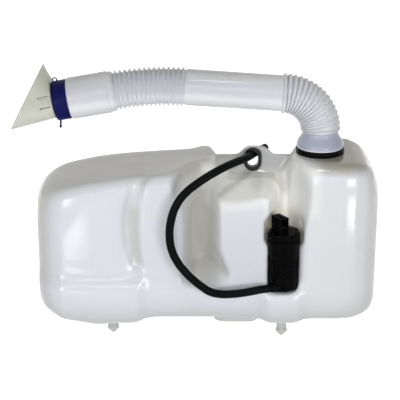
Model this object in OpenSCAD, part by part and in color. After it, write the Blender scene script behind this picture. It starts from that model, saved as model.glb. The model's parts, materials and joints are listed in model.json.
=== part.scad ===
// Washer fluid reservoir: blown tank, corrugated filler tube with funnel, and an electric pump with its hose.
// The origin is the foot of the left locating peg, on the parting plane; X runs right, Y back and Z up.

/* [Tank] */
// Reach of the tank to the left of the left locating peg
reach_left = 83; // [78:1:90]
// Reach of the tank to the right of the left locating peg
reach_right = 305.5; // [302:0.5:316]
// Depth of the tank in front of the parting plane
front_depth = 58; // [55:1:64]
// Depth of the tank behind the parting plane
back_depth = 60; // [50:1:72]
// Thickness of the blown wall
wall = 3; // [2:0.5:3.5]
// Height of the left block's top at its left end
left_top = 168; // [160:1:172]
// Height of the left block's top at its right end
hump_top = 181.5; // [178:0.5:186]
// Height at which the two walls are pinched into the web
mid_top = 167; // [164:1:170]
// Height of the right block and its neck platform
right_top = 191; // [189:1:196]
// Plan radius of the tank's upright end corners
corner_r = 42; // [36:1:46]
// Radius of the edge round the underside
bottom_r = 20; // [16:1:24]

/* [Front relief] */
// How far the left foot stands proud of the face above it
foot_step = 8; // [4:1:10]
// Right end of the left foot
foot_end = 46; // [40:1:50]
// How far the foot under the pump stands proud
pump_foot = 9; // [8:0.5:12]
// Height at which the foot's ledge starts
ledge_top = 63; // [60:1:70]
// Depth of the valley that divides the left block
valley_depth = 12; // [6:1:16]
// Middle of that valley
valley_x = 25; // [20:1:30]
// Right end of the left block, where the channel starts
block_end = 95; // [92:1:98]
// Width of the upright channel
channel_w = 22; // [18:1:26]
// Height of the channel's floor
channel_floor = 64; // [60:1:70]
// Depth of the middle bulge in front of the parting plane
bulge_depth = 55; // [50:1:58]
// Height at which the middle bulge slopes back to the web
bulge_top = 150; // [145:1:153]

// Softness of the edges between the front forms
edge_soft = 4; // [2:0.5:5]

/* [Web, tab and pegs] */
// Thickness of the pinched web
web_t = 5; // [4:0.5:7]
// Height of the web's upper edge
web_top = 188; // [186:1:190]
// Height of the hose tab
tab_top = 198; // [197:0.5:202]
// Middle of the hose tab
tab_x = 166; // [163:1:169]
// Width of the tab's flat top
tab_top_w = 19; // [16:1:24]
// Width of the tab at the web
tab_base_w = 40; // [34:1:46]
// Distance between the two locating pegs
peg_span = 199.4; // [190:0.2:206]
// How far the right peg stands in front of the left one
peg_offset = 8; // [4:1:12]
// Length of the pegs below the tank
peg_len = 35; // [28:1:40]
// Diameter of a peg's stem
peg_d = 11.7; // [9:0.1:12.5]
// Diameter of a peg's arrow head
peg_head_d = 13.6; // [13:0.1:15]

/* [Neck and filler tube] */
// Distance of the filler neck from the left peg
neck_x = 239; // [236:1:244]
// Outer radius of the tube's spigot in the neck
spigot_r = 20.5; // [19.5:0.1:21.5]
// Thickness of the rubber between spigot and neck hole
seal_t = 3; // [2:0.5:4]
// Height of the seal above the platform
seal_h = 6.4; // [5:0.2:8]
// Radius of the seal's flange
seal_flange_r = 27.4; // [26.5:0.1:29]
// Radius of the bell's foot
bell_r = 26.6; // [25:0.1:26.8]
// Height of the bell and the stub above it
bell_h = 19; // [17:1:25]
// Radius of the elbow, at the tube's axis
elbow_r = 42.5; // [36:0.5:48]
// Angle through which the elbow turns
elbow_turn = 86.1; // [80:0.1:90]
// Number of convolutions in the elbow
elbow_waves = 15; // [11:1:16]
// Outer radius of the elbow's convolutions
elbow_crest_r = 22.6; // [21.6:0.1:23.2]
// Outer radius between the elbow's convolutions
elbow_root_r = 19.4; // [18.8:0.1:19.8]
// Length of the smooth tube
smooth_len = 112; // [90:1:130]
// Outer radius of the smooth tube
smooth_r = 20.3; // [19.6:0.1:20.8]
// Length of the second bellows
bellows_len = 77.5; // [66:0.5:90]
// Angle through which the second bellows droops
bellows_turn = 13.8; // [8:0.1:20]
// Number of folds in the second bellows
bellows_waves = 15; // [11:1:17]
// Outer radius of the folds
bellows_crest_r = 22.3; // [21:0.1:22.8]
// Outer radius between the folds
bellows_root_r = 18.9; // [18:0.1:19.4]
// Length of the cuff
cuff_len = 54.5; // [46:0.5:64]
// Outer radius of the cuff
cuff_r = 23.5; // [22.8:0.1:24]
// Wall of the filler tube
tube_wall = 1.7; // [1.2:0.1:2]

/* [Collar and funnel] */
// Length of the collar
collar_len = 16.5; // [14:0.5:20]
// Outer radius of the collar
collar_r = 22.4; // [22:0.1:23.6]
// Wall of the collar
collar_wall = 2.2; // [1.8:0.1:2.4]
// Half height of the funnel's slanted mouth
mouth_half_h = 42.4; // [36:0.1:46]
// Half width of the funnel's mouth
mouth_half_w = 32; // [28:0.5:38]
// Angle of the mouth's plane from upright
mouth_lean = 27.5; // [20:0.5:34]
// Distance from the collar to the middle of the mouth
funnel_len = 31.4; // [28:0.1:40]
// Wall of the funnel
funnel_wall = 1.8; // [1.2:0.1:2.2]

/* [Pump] */
// Distance of the pump's axis from the left peg
pump_x = 197.2; // [195:0.2:200]
// Distance of the pump's axis in front of the parting plane
pump_front = 50; // [48:0.5:52]
// Radius of the pump's housing
pump_r = 16.8; // [16:0.1:17.4]
// Height of the pump's underside
pump_z = 46; // [45:0.5:48]
// Height of the impeller chamber's housing
base_h = 16; // [15:0.5:18]
// Height of the motor housing
motor_h = 38; // [36:0.5:42]
// Height of the cap
cap_h = 14; // [12:0.5:16]
// Radius of the cap's rings
ring_r = 18.7; // [18.2:0.1:19.4]
// Turn of the pump about its axis
pump_turn = 33; // [25:1:40]
// Width of the connector
plug_w = 11; // [10:0.5:12]
// Depth of the connector
plug_d = 18; // [16:0.5:19]
// Height of the connector above the cap
plug_h = 17; // [15:0.5:20]
// Gap between pump and pocket
pocket_gap = 0.6; // [0.4:0.1:1]
// Radius of the armature shaft
shaft_r = 1; // [0.8:0.05:1.2]
// Running clearance of the shaft in its bearings
shaft_gap = 0.04; // [0.02:0.01:0.08]
// Radius of the armature
armature_r = 9.6; // [9:0.1:10]
// Gap between armature and magnets
air_gap = 0.5; // [0.4:0.1:0.8]
// Radius of the impeller
impeller_r = 10.5; // [9:0.5:12]
// Number of impeller blades
impeller_blades = 6; // [4:1:8]
// Radius of the inlet nipple
inlet_r = 6; // [5:0.1:6.5]
// Thickness of the rubber round the inlet nipple
inlet_seal_t = 2.5; // [2:0.1:3]

/* [Hose] */
// Outer diameter of the hose
hose_d = 9.2; // [8.6:0.1:9.6]
// Bore of the hose
hose_bore = 6; // [5:0.1:6.4]
// Width of the hole in the tab's grommet
eye_w = 12; // [11:0.5:13]
// Height of the hole in the tab's grommet
eye_h = 19; // [17:0.5:21]
// Width of the rubber round that hole
eye_rim = 3.6; // [3:0.1:4]

/* [Hidden] */
$fn = 64;
x_left = -reach_left;
x_right = reach_right;
// Upright rounding of the tank's ends
left_drop = 28;
left_chamfer = 10;
right_drop = 46;
left_lift = 24;
left_slope = 18;
right_lift = 9;
// Depth to which the walls are pinched in front of and behind the parting plane
pinch = web_t + 1;
// Places along the tank, from left to right
channel_end = block_end + channel_w;
hump_end = block_end + 19;
hump_fall = 26;
foot_drop = 2;
mid_lift = 4;
pump_lift = 2.5;
pocket_r = pump_r + pocket_gap;
pocket_wide_r = ring_r + 3.3;
pocket_floor = pump_z - 3;
pocket_step = pump_z + base_h + motor_h - 4;
trough_depth = 26;
lip_left = pump_x - pocket_r;
lip_right = pump_x + pocket_r;
right_depth = front_depth + 2;
flank_deep = lip_right - 14;
right_rise = 24;
// Heights of the loft's rows; those above and below the fixed ones stretch to each section's ends
row_low = 20;
row_fixed_low = 45;
row_fixed_high = 150;
row_high = 165;
outer_rows = [28, 35, 40, 45, 50, 55, 60, 66, 76, 90, 104, 118, 130, 139, 145, 150, 155, 160];
outer_back_rows = [45, 90, 130, 148, 157];
inner_rows = [pocket_floor - 6.3, pocket_floor - 3.2, 54, 64, 86, 100, 132, 146, 155];
inner_back_rows = [90, 146, 157];
overlap = 0.5;

function clip(t) = max(0, min(1, t));
function ramp(t) = let (c = clip(t)) c * c * (3 - 2 * c);
function mix(a, b, t) = a + (b - a) * t;
function between(v, low, high, soft) = ramp((v - low) / soft + 1) * ramp((high - v) / soft + 1);
function pull(v, at, left, right) = ramp((v - at) / left + 1) * ramp((at - v) / right + 1);
function bulge_arc(s) = 1 - sqrt(1 - s * s);
function end_share(x) = clip(1 - min(x - x_left, x_right - x) / corner_r);
function span(a, b, n) = [for (i = [1:n]) mix(a, b, i / n)];

// Tank top, underside and edge radius along X
function top_z(x) =
  let (
    left = mix(left_top, hump_top, pow(clip((x - x_left - corner_r) / (hump_end - x_left - corner_r)), 0.6)),
    mid = mix(left, mid_top, ramp((x - hump_end) / hump_fall)),
    right = mix(mid, right_top, ramp((x - lip_right + right_rise + 2) / right_rise)),
    s = end_share(x),
    left_end = left_drop * bulge_arc(s) + left_chamfer * s * (1 - s),
    right_end = right_drop * bulge_arc(pow(s, 1.5))
  )
  right - (x < valley_x ? left_end : right_end);
function bottom_z(x) =
  let (s = end_share(x))
  mid_lift * between(x, foot_end, channel_end, 20) + pump_lift * ramp((x - channel_end) / 20)
  - foot_drop * between(x, x_left + corner_r, -peg_d, 24)
  - pump_lift * between(x, lip_left + 4, lip_right - 4, 14)
  + (x < valley_x ? left_lift * bulge_arc(s) + left_slope * s * (1 - s) : right_lift * bulge_arc(s));
function top_r(x) = mix(mix(18, 4, ramp((x - block_end + 5) / 20)), 22, ramp((x - lip_right + 6) / 20));
function back_top_r(x) = mix(top_r(x), 8, ramp((x - lip_right + 6) / 20));

// Sideways bend of the sections, so that they follow the curved edges of the front forms
function bend(x, z) =
  18 * pow((z - 119) / 60, 2) * ramp((z - ledge_top + 18) / 25) * pull(x, valley_x, 26, 26)
  - 12 * ramp((z - 125) / 50) * pull(x, block_end - 10, 26, 10)
  + 8 * ramp((z - 125) / 40) * pull(x, block_end, 10, 18)
  + 14 * ramp((95 - z) / 45) * pull(x, channel_end + 6, 9, 28);

// Depth of each front form at x and z, before the bend
function left_block(x, z) =
  let (
    aside = x < valley_x ? (valley_x - x) / 15 : (x - valley_x) / 10,
    near = (1 - ramp(aside)) * ramp((z - ledge_top + 6) / 20),
    foot = ramp((foot_end - x) / 16) * ramp((ledge_top - z) / 16),
    face = front_depth - valley_depth * near - 3 * ramp((x - valley_x) / 13) * (1 - foot) + foot_step * foot
  )
  mix(pinch, face, ramp((block_end - x) / 10));
function skirt(x, z) =
  let (
    corner = 7 * between(x, channel_end + 6, channel_end + 12, 12),
    foot = foot_step * ramp((foot_end - x) / 16),
    under_pump = pump_foot * between(x, lip_left + 4, lip_right - 4, 18) * ramp((pocket_floor + 7 - z) / 10)
  )
  mix(pinch, front_depth + foot, ramp((channel_floor + corner - z) / 15)) + under_pump;
function mid_bulge(x, z) =
  let (
    dome = between(x, lip_left - 15, lip_left, 8),
    dip = between(x, channel_end + 20, channel_end + 35, 6),
    crown = bulge_top + 7 * dome - 4 * dip,
    side = ramp((x - channel_end + 3) / 9) * ramp((lip_left + 14 - x) / 12)
  )
  mix(pinch, bulge_depth, side * (1 - clip((z - crown) / (row_high - crown))));
function pump_mass(x, z) =
  let (
    side = between(x, lip_left - 6, lip_right + 6, 10),
    low = mix(pump_front - 8, trough_depth, ramp((z - pocket_step) / 22)),
    depth = mix(low, pinch, clip((z - pocket_step - 22) / (row_high - pocket_step - 22)))
  )
  mix(pinch, depth, side);
function right_block(x, z) =
  let (flank_w = lip_right + 3 + 12 * ramp((z - 95) / 65) - flank_deep)
  mix(pinch, right_depth, ramp((x - flank_deep) / flank_w));
function relief(x, z) =
  max(left_block(x, z), skirt(x, z), mid_bulge(x, z), pump_mass(x, z), right_block(x, z));
// Mean of the relief close by, as a blown wall rounds every edge and corner
function front(x, z) =
  let (
    steps = [-edge_soft, 0, edge_soft],
    near = [for (dx = steps) for (dz = steps) relief(x + dx, z + dz)]
  )
  near * [for (n = near) 1 / len(near)] - corner_r * bulge_arc(end_share(x));
function back(x, z) =
  let (mid = ramp((x - hump_end + 2) / 22) * ramp((flank_deep + 28 - x) / 28))
  mix(back_depth, pinch, mid * clip((z - bulge_top + 2) / (row_high - bulge_top)))
  - corner_r * bulge_arc(end_share(x));

// The pocket's wall seen from inside the tank, a blown wall behind the bore that the pump stands in
function pocket_limit(x, z) =
  let (r = (z > pocket_step - 8 ? pocket_wide_r : pocket_r) + wall, d = abs(x - pump_x))
  (z < pocket_floor - wall - 0.5 || d >= r) ? 1000 : pump_front - sqrt(r * r - d * d);
function front_at(x, z, w) =
  w == 0 ? front(x, z)
  : let (e = w + edge_soft)
  min(
    min([for (dx = [-e, 0, e]) for (dz = [-e, 0, e]) relief(x + dx, z + dz)]) - w
    - corner_r * bulge_arc(max(end_share(x - w), end_share(x + w))),
    pocket_limit(x + bend(x, z), z)
  );
function back_at(x, z, w) =
  w == 0 ? back(x, z) : let (e = 1.8 * w) min([for (dx = [-e, 0, e]) back(x + dx, z + e)]) - w;

// One closed section of the tank at x, set in from the outside by w: up the front, over, and down the back
function section(x, w, rows, back_rows, front_step, back_step) =
  let (
    low = max([for (dx = [-w, 0, w]) bottom_z(x + dx)]) + w,
    high = min([for (dx = [-w, 0, w]) top_z(x + dx)]) - w,
    low_r = bottom_r - w,
    high_r = max(1, top_r(x) - w),
    z0 = low + low_r,
    z1 = high - high_r,
    z_low = max(row_fixed_low, z0 + 8),
    z_high = min(row_fixed_high, mix(row_fixed_low, z1, 0.875)),
    stretch = function (h)
      h < row_fixed_low ? mix(z0, z_low, (h - row_low) / (row_fixed_low - row_low))
      : h > row_fixed_high ? mix(z_high, z1, (h - row_fixed_high) / (row_high - row_fixed_high))
      : mix(z_low, z_high, (h - row_fixed_low) / (row_fixed_high - row_fixed_low)),
    outline = function (step, levels, r) concat(
      [for (a = [0:step:90]) [low + low_r * (1 - cos(a)), low_r * (1 - sin(a))]],
      [for (h = levels) [stretch(h), 0]],
      [for (a = [0:step:90]) [high - r + r * sin(a), 0.8 * r * (1 - cos(a))]]
    ),
    fore = outline(front_step, rows, high_r),
    aft = outline(back_step, back_rows, max(1, back_top_r(x) - w))
  )
  concat(
    [for (p = fore) let (f = front_at(x, p[0], w))
      [x + bend(x, p[0]), -f + min(p[1], 0.7 * abs(f)), p[0]]],
    [[x, 0, high]],
    [for (i = [len(aft) - 1:-1:0]) let (p = aft[i], b = back_at(x, p[0], w))
      [x, b - min(p[1], 0.7 * b), p[0]]],
    [[x, 0, low]]
  );

// Sections along the tank, close together where the front changes
function corner_stations(w) = [for (a = [0:18:72]) (corner_r - w) * (1 - cos(a))];
function stations(w) = concat(
  [for (d = corner_stations(w)) x_left + w + d],
  span(x_left + corner_r, valley_x - 13, 2),
  span(valley_x - 13, valley_x + 15, 7),
  span(valley_x + 15, block_end - 18, 3),
  span(block_end - 18, block_end, 5),
  span(block_end, channel_end - 4, 3),
  span(channel_end - 4, channel_end + 10, 5),
  span(channel_end + 10, lip_left - 10, 3),
  span(lip_left - 10, lip_left + 4, 4),
  span(lip_left + 4, flank_deep, 5),
  span(flank_deep, lip_right + 15, 7),
  span(lip_right + 15, x_right - corner_r, 2),
  [for (i = [4:-1:0]) x_right - w - corner_stations(w)[i]]
);

module loft(rings) {
  n = len(rings[0]);
  last = len(rings) - 1;
  middle = function (r) [r[0][0], 0, (r[0][2] + r[n / 2][2]) / 2];
  points = concat([for (r = rings) each r], [middle(rings[0]), middle(rings[last])]);
  faces = concat(
    [for (i = [0:last - 1]) for (j = [0:n - 1])
      let (a = i * n + j, b = i * n + (j + 1) % n) each [[a, b, b + n], [a, b + n, a + n]]],
    [for (j = [0:n - 1]) [(j + 1) % n, j, len(points) - 2]],
    [for (j = [0:n - 1]) [last * n + j, last * n + (j + 1) % n, len(points) - 1]]
  );
  polyhedron(points, faces);
}

module tank_outside() {
  loft([for (x = stations(0)) section(x, 0, outer_rows, outer_back_rows, 30, 45)]);
}

module tank_inside() {
  loft([for (x = stations(wall)) section(x, wall, inner_rows, inner_back_rows, 45, 90)]);
}

module stadium(w, h) {
  for (side = [-1, 1]) translate([0, side * (h - w) / 2]) circle(d = w);
  square([w, h - w], center = true);
}

// Places an outline drawn in X and Z on the parting plane, t thick
module on_web(t) {
  translate([0, t / 2, 0]) rotate([90, 0, 0]) linear_extrude(t) children();
}

eye_z = tab_top - 15.2;
eye_x = tab_x - 3;
groove_w = eye_w + eye_rim;
groove_h = eye_h + eye_rim + 2;

module web() {
  tab_r = 4;
  on_web(web_t) difference() {
    union() {
      translate([hump_end + 2, bulge_top + 4])
        square([lip_right + 12 - hump_end - 2, web_top - bulge_top - 4]);
      offset(r = tab_r) offset(delta = -tab_r) polygon([
        [tab_x - tab_base_w / 2, web_top - 12],
        [tab_x - tab_base_w / 2, web_top],
        [tab_x - tab_top_w / 2 - 1, tab_top],
        [tab_x + tab_top_w / 2 + 1, tab_top],
        [tab_x + tab_base_w / 2, web_top],
        [tab_x + tab_base_w / 2, web_top - 12]
      ]);
    }
    translate([eye_x, eye_z]) stadium(groove_w, groove_h);
  }
}

module peg(root) {
  land = 3;
  point = 6;
  rotate_extrude() polygon([
    [0, root],
    [peg_d / 2, root],
    [peg_d / 2, -peg_len + point + land + 1],
    [peg_head_d / 2, -peg_len + point + land],
    [peg_head_d / 2, -peg_len + point],
    [1.5, -peg_len],
    [0, -peg_len]
  ]);
}

// The bore that the pump stands in, wider round its cap and plug, with a sloping roof
module pump_pocket() {
  translate([pump_x, -pump_front, 0]) rotate_extrude() polygon([
    [0, pocket_floor],
    [pocket_r, pocket_floor],
    [pocket_r, pocket_step],
    [pocket_wide_r, pocket_step + 5],
    [pocket_wide_r, pocket_step + 31],
    [0, pocket_step + 31 + pocket_wide_r * 0.8]
  ]);
}

// A shallow sump under the middle of the tank
module sump(w) {
  sump_r = 10;
  sump_w = 52;
  sump_d = 56;
  sump_low = 7.5;
  translate([channel_end + 2, -34, -sump_low]) linear_extrude(sump_low + 10) offset(r = sump_r - w)
    translate([sump_r, sump_r]) square([sump_w - 2 * sump_r, sump_d - 2 * sump_r]);
}

module tank() color("whitesmoke") {
  difference() {
    union() {
      tank_outside();
      web();
      sump(0);
    }
    tank_inside();
    translate([0, 0, wall]) sump(wall);
    pump_pocket();
    translate([neck_x, 0, right_top - 2 * wall]) cylinder(r = spigot_r + seal_t, h = 4 * wall);
    translate([pump_x, -pump_front, pocket_floor - 3 * wall])
      cylinder(r = inlet_r + inlet_seal_t, h = 4 * wall);
    // Notch in the pocket's lip for the pump's outlet and its hose
    on_pump() at_outlet() cylinder(d = nozzle_d + 2, h = nozzle_end + 12);
  }
  peg(bottom_z(0) + wall - overlap);
  translate([peg_span, -peg_offset, 0]) peg(bottom_z(peg_span) + wall - overlap);
}

module neck_seal() color("#151515") {
  translate([neck_x, 0, right_top]) rotate_extrude() polygon([
    [spigot_r, seal_h],
    [seal_flange_r - 1, seal_h],
    [seal_flange_r, seal_h - 1],
    [seal_flange_r, 0],
    [spigot_r + seal_t, 0],
    [spigot_r + seal_t, -wall],
    [spigot_r + seal_t + 1.5, -wall - 1],
    [spigot_r + 1, -wall - 6],
    [spigot_r, -wall - 6]
  ]);
}

// Filler tube: its axis starts upright in the neck and lies in the parting plane
tube_start = right_top + seal_h;
spigot_len = seal_h + wall + 8;
elbow_len = elbow_r * elbow_turn * PI / 180;
bellows_bend_r = bellows_len / (bellows_turn * PI / 180);
s_elbow = bell_h;
s_smooth = s_elbow + elbow_len;
s_bellows = s_smooth + smooth_len;
s_cuff = s_bellows + bellows_len;
s_end = s_cuff + cuff_len + collar_len - 3;

function turned(p, r, a) = [
  p[0] + r * (sin(p[2] + a) - sin(p[2])),
  p[1] - r * (cos(p[2] + a) - cos(p[2])),
  p[2] + a
];
function ahead(p, d) = [p[0] + d * cos(p[2]), p[1] + d * sin(p[2]), p[2]];
elbow_start = [neck_x, tube_start + bell_h, 90];
elbow_end = turned(elbow_start, elbow_r, elbow_turn);
bellows_start = ahead(elbow_end, smooth_len);
cuff_start = turned(bellows_start, bellows_bend_r, bellows_turn);
// Place and heading of the axis at a distance s from the bell's foot
function along(s) =
  s < s_elbow ? ahead(elbow_start, s - s_elbow)
  : s < s_smooth ? turned(elbow_start, elbow_r, elbow_turn * (s - s_elbow) / elbow_len)
  : s < s_bellows ? ahead(elbow_end, s - s_smooth)
  : s < s_cuff ? turned(bellows_start, bellows_bend_r, bellows_turn * (s - s_bellows) / bellows_len)
  : ahead(cuff_start, s - s_cuff);

elbow_pitch = elbow_len / elbow_waves;
bellows_pitch = bellows_len / bellows_waves;
neck_r = collar_r - collar_wall;
bell_lip = 3;
bead_len = 5;
cuff_step = 9;
tube_sides = 16;
tube_outside = concat(
  [[-spigot_len, spigot_r - 1], [-spigot_len + 2, spigot_r], [0, spigot_r], [0, bell_r]],
  [[bell_lip, bell_r], [mix(bell_lip, bell_h, 0.3), mix(bell_r, smooth_r, 0.22)]],
  [[mix(bell_lip, bell_h, 0.64), mix(bell_r, smooth_r, 0.66)]],
  [for (i = [0:elbow_waves - 1]) each [
    [s_elbow + i * elbow_pitch, elbow_root_r],
    [s_elbow + (i + 0.3) * elbow_pitch, elbow_crest_r],
    [s_elbow + (i + 0.7) * elbow_pitch, elbow_crest_r]]],
  [[s_smooth, elbow_root_r], [s_smooth + 0.24 * bead_len, elbow_crest_r]],
  [[s_smooth + 0.72 * bead_len, elbow_crest_r], [s_smooth + bead_len, smooth_r], [s_bellows, smooth_r]],
  [for (i = [0:bellows_waves - 1]) each [
    [s_bellows + (i + 0.3) * bellows_pitch, bellows_root_r],
    [s_bellows + (i + 0.8) * bellows_pitch, bellows_crest_r]]],
  [[s_cuff + 0.11 * cuff_step, bellows_root_r], [s_cuff + 0.45 * cuff_step, cuff_r - 1]],
  [[s_cuff + 0.9 * cuff_step, cuff_r - 0.9], [s_cuff + cuff_step, cuff_r]],
  [[s_cuff + cuff_len - 1.5, cuff_r], [s_cuff + cuff_len, cuff_r - 1.5]],
  [[s_cuff + cuff_len, neck_r], [s_end, neck_r]]
);
tube_inside = concat(
  [[-spigot_len, spigot_r - 2 * tube_wall], [0, spigot_r - 2 * tube_wall], [8, spigot_r - 2 * tube_wall]],
  [for (i = [0:1.5:elbow_waves]) [s_elbow + i * elbow_pitch, elbow_root_r - tube_wall]],
  [[s_smooth + bead_len, smooth_r - tube_wall], [s_bellows, smooth_r - tube_wall]],
  [for (i = [0:bellows_waves - 1]) each [
    [s_bellows + (i + 0.3) * bellows_pitch, bellows_root_r - tube_wall],
    [s_bellows + (i + 0.8) * bellows_pitch, bellows_crest_r - tube_wall]]],
  [[s_cuff + 0.11 * cuff_step, bellows_root_r - tube_wall], [s_cuff + cuff_step, cuff_r - 1.5 * tube_wall]],
  [[s_cuff + cuff_len - 3 * tube_wall, cuff_r - 1.5 * tube_wall]],
  [[s_cuff + cuff_len - tube_wall, neck_r - tube_wall], [s_end, neck_r - tube_wall]]
);

function tube_ring(s, r, sides) =
  let (p = along(s))
  [for (k = [0:sides - 1]) let (a = 360 * k / sides)
    [p[0] + r * cos(a) * sin(p[2]), r * sin(a), p[1] - r * cos(a) * cos(p[2])]];

// Joins rings of points into a skin; a closed skin also joins its last ring to its first
module skin(rings, closed) {
  n = len(rings[0]);
  count = len(rings);
  points = [for (r = rings) each r];
  sides = [for (i = [0:closed ? count - 1 : count - 2]) for (j = [0:n - 1])
    let (k = (i + 1) % count, m = (j + 1) % n)
    each [[i * n + j, k * n + m, i * n + m], [i * n + j, k * n + j, k * n + m]]];
  ends = closed ? [] : [[for (j = [0:n - 1]) j], [for (j = [n - 1:-1:0]) (count - 1) * n + j]];
  polyhedron(points, concat(sides, ends));
}

module filler_tube() color("#f4f6f8") {
  inner = len(tube_inside) - 1;
  skin(concat(
    [for (p = tube_outside) tube_ring(p[0], p[1], tube_sides)],
    [for (i = [inner:-1:0]) tube_ring(tube_inside[i][0], tube_inside[i][1], tube_sides)]
  ), true);
}

// Stands on the tube's axis at s, with its own Z along the axis towards the funnel
module at_tube(s) {
  p = along(s);
  translate([p[0], 0, p[1]]) rotate([0, 90 - p[2], 0]) children();
}

module filler_collar() color("#1c1c70") {
  loop_r = 2.3;
  loop_d = 1.5;
  tail_len = 8.5;
  tail_d = 2.5;
  at_tube(s_cuff + cuff_len) {
    rotate_extrude() polygon([
      [neck_r, 0],
      [collar_r - 0.6, 0],
      [collar_r, 0.6],
      [collar_r, collar_len - 3],
      [collar_r - 0.8, collar_len],
      [neck_r - 1.2, collar_len],
      [neck_r - 1.2, collar_len - 1.4],
      [neck_r, collar_len - 1.4]
    ]);
    translate([collar_r - overlap, 0, 0.7 * collar_len]) rotate([90, 0, 0])
      rotate_extrude(angle = 180, start = -90) translate([loop_r, 0]) circle(d = loop_d);
    translate([-collar_r + overlap, 0, 0.8 * collar_len]) rotate([0, -90, 0]) {
      cylinder(d = tail_d, h = tail_len);
      translate([0, 0, tail_len]) sphere(d = 1.4 * tail_d);
    }
  }
}

// Funnel: a round spigot in the tube, a wider root set off upwards, and a slanted oval mouth
funnel_gap = 0.15;
funnel_spigot_r = (neck_r - tube_wall) * cos(180 / tube_sides) - funnel_gap;
collar_reach = 3.2;
funnel_start = ahead(along(s_end), collar_reach);
funnel_mouth = ahead(along(s_end), collar_reach + funnel_len);
funnel_root_r = 23.5;
root_rise = 5;
mouth_rise = 10.5;
tongue_w = 12.6;
tongue_len = 11;
tongue_shift = 6.4;
slot_w = 1.4;
pad_t = 1.6;
funnel_up = [sin(funnel_start[2]), 0, -cos(funnel_start[2])];
funnel_base = [funnel_start[0], 0, funnel_start[1]];
mouth_base = [funnel_mouth[0], 0, funnel_mouth[1]];
mouth_middle = mouth_base + [0, 0, mouth_rise];
function oval(middle, up, across, sides) =
  [for (k = [0:sides - 1]) let (a = 360 * k / sides) middle + cos(a) * up + [0, sin(a) * across, 0]];
function spigot_ring(t, inset, sides) =
  let (r = funnel_spigot_r - inset)
  oval(mix(funnel_base, mouth_base, t), r * funnel_up, r, sides);
function funnel_ring(t, inset, sides) =
  let (
    up = mix(
      (funnel_root_r - inset) * funnel_up,
      (mouth_half_h - inset) * [sin(mouth_lean), 0, cos(mouth_lean)],
      t
    ),
    across = mix(funnel_root_r, mouth_half_w, t) - inset
  )
  oval(mix(funnel_base + root_rise * funnel_up, mouth_middle, t), up, across, sides);

module funnel() color("#d6d6c4") {
  sides = 24;
  plug_in = -14 / funnel_len;
  floor_in = funnel_wall / funnel_len;
  difference() {
    skin(concat(
      [for (t = [plug_in, 0]) spigot_ring(t, 0, sides)],
      [for (t = [0, 0.5, 1]) funnel_ring(t, 0, sides)],
      [for (t = [1, 0.5, floor_in]) funnel_ring(t, funnel_wall, sides)],
      [for (t = [floor_in, plug_in]) spigot_ring(t, funnel_wall, sides)]
    ), true);
    // The snap tongue's two slots, on the side towards the front
    for (side = [-1, 1]) at_tube(s_end + collar_reach + 0.05 * funnel_len)
      translate([tongue_shift + side * tongue_w / 2 - slot_w / 2, -mouth_half_w, 0])
        cube([slot_w, mouth_half_w - 6, tongue_len]);
  }
  // Pad on the tongue
  pad_in = 0.21;
  flare = atan((mouth_half_w - funnel_root_r) / funnel_len);
  at_tube(s_end + collar_reach + pad_in * funnel_len)
    translate([tongue_shift, -mix(funnel_root_r, mouth_half_w, pad_in), 0]) rotate([flare, 0, 0])
      cube([0.66 * tongue_w, pad_t, 0.66 * tongue_len], center = true);
}

// Hose: points chosen by hand along its axis, from the pump's outlet to its bare end behind the tab
hose_path = [
  [180.5, -64.8, 50], [171.8, -67.2, 49.7], [161, -70, 48.7], [149, -72, 47.5], [138, -72.5, 46.5],
  [126, -72.5, 46.5], [115, -72.5, 49], [105, -72, 55.5], [95, -71.5, 64], [86, -71, 73.5],
  [78, -70.5, 84.5], [72, -70, 98], [69.5, -70, 114], [71.5, -70, 135], [78, -69.5, 153],
  [88, -68.5, 166], [99.5, -66.5, 175], [110.5, -62.5, 181.5], [121, -56.5, 186], [130, -49, 188.5],
  [139, -39.5, 189.5], [148, -27.5, 189.3], [156.8, -14, 188.7], [163.3, -1, 188.2], [170.3, 11.5, 188.2],
  [178.5, 23, 188.6]
];
function unit(v) = v / norm(v);
function heading(i) =
  let (last = len(hose_path) - 1)
  unit(hose_path[min(i + 1, last)] - hose_path[max(i - 1, 0)]);
function hose_ring(i, r, sides) =
  let (t = heading(i), side = unit(cross(t, [0, 1, 0])), rise = cross(t, side))
  [for (k = [0:sides - 1]) let (a = 360 * k / sides) hose_path[i] + r * (cos(a) * side + sin(a) * rise)];

module hose() color("#141414") {
  last = len(hose_path) - 1;
  skin(concat(
    [for (i = [0:last]) hose_ring(i, hose_d / 2, 8)],
    [for (i = [last:-1:0]) hose_ring(i, hose_bore / 2, 8)]
  ), true);
}

// Axis of the hose where it passes the grommet
eye_point = hose_path[23];
eye_heading = heading(23);

module tab_grommet() color("#2c2c2e") {
  lip = 2;
  difference() {
    union() {
      for (side = [-1, 1]) translate([eye_x, side * (web_t + lip) / 2, eye_z])
        on_web(lip) stadium(eye_w + 2 * eye_rim, eye_h + 2 * eye_rim + 0.8);
      translate([eye_x, 0, eye_z]) on_web(web_t) stadium(groove_w, groove_h);
    }
    translate([eye_x, 0, eye_z]) on_web(web_t + 3 * lip) stadium(eye_w, eye_h);
    translate(eye_point) rotate([0, 90, atan2(eye_heading[1], eye_heading[0])])
      cylinder(d = hose_d + 0.1, h = 40, center = true);
  }
}

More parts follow.
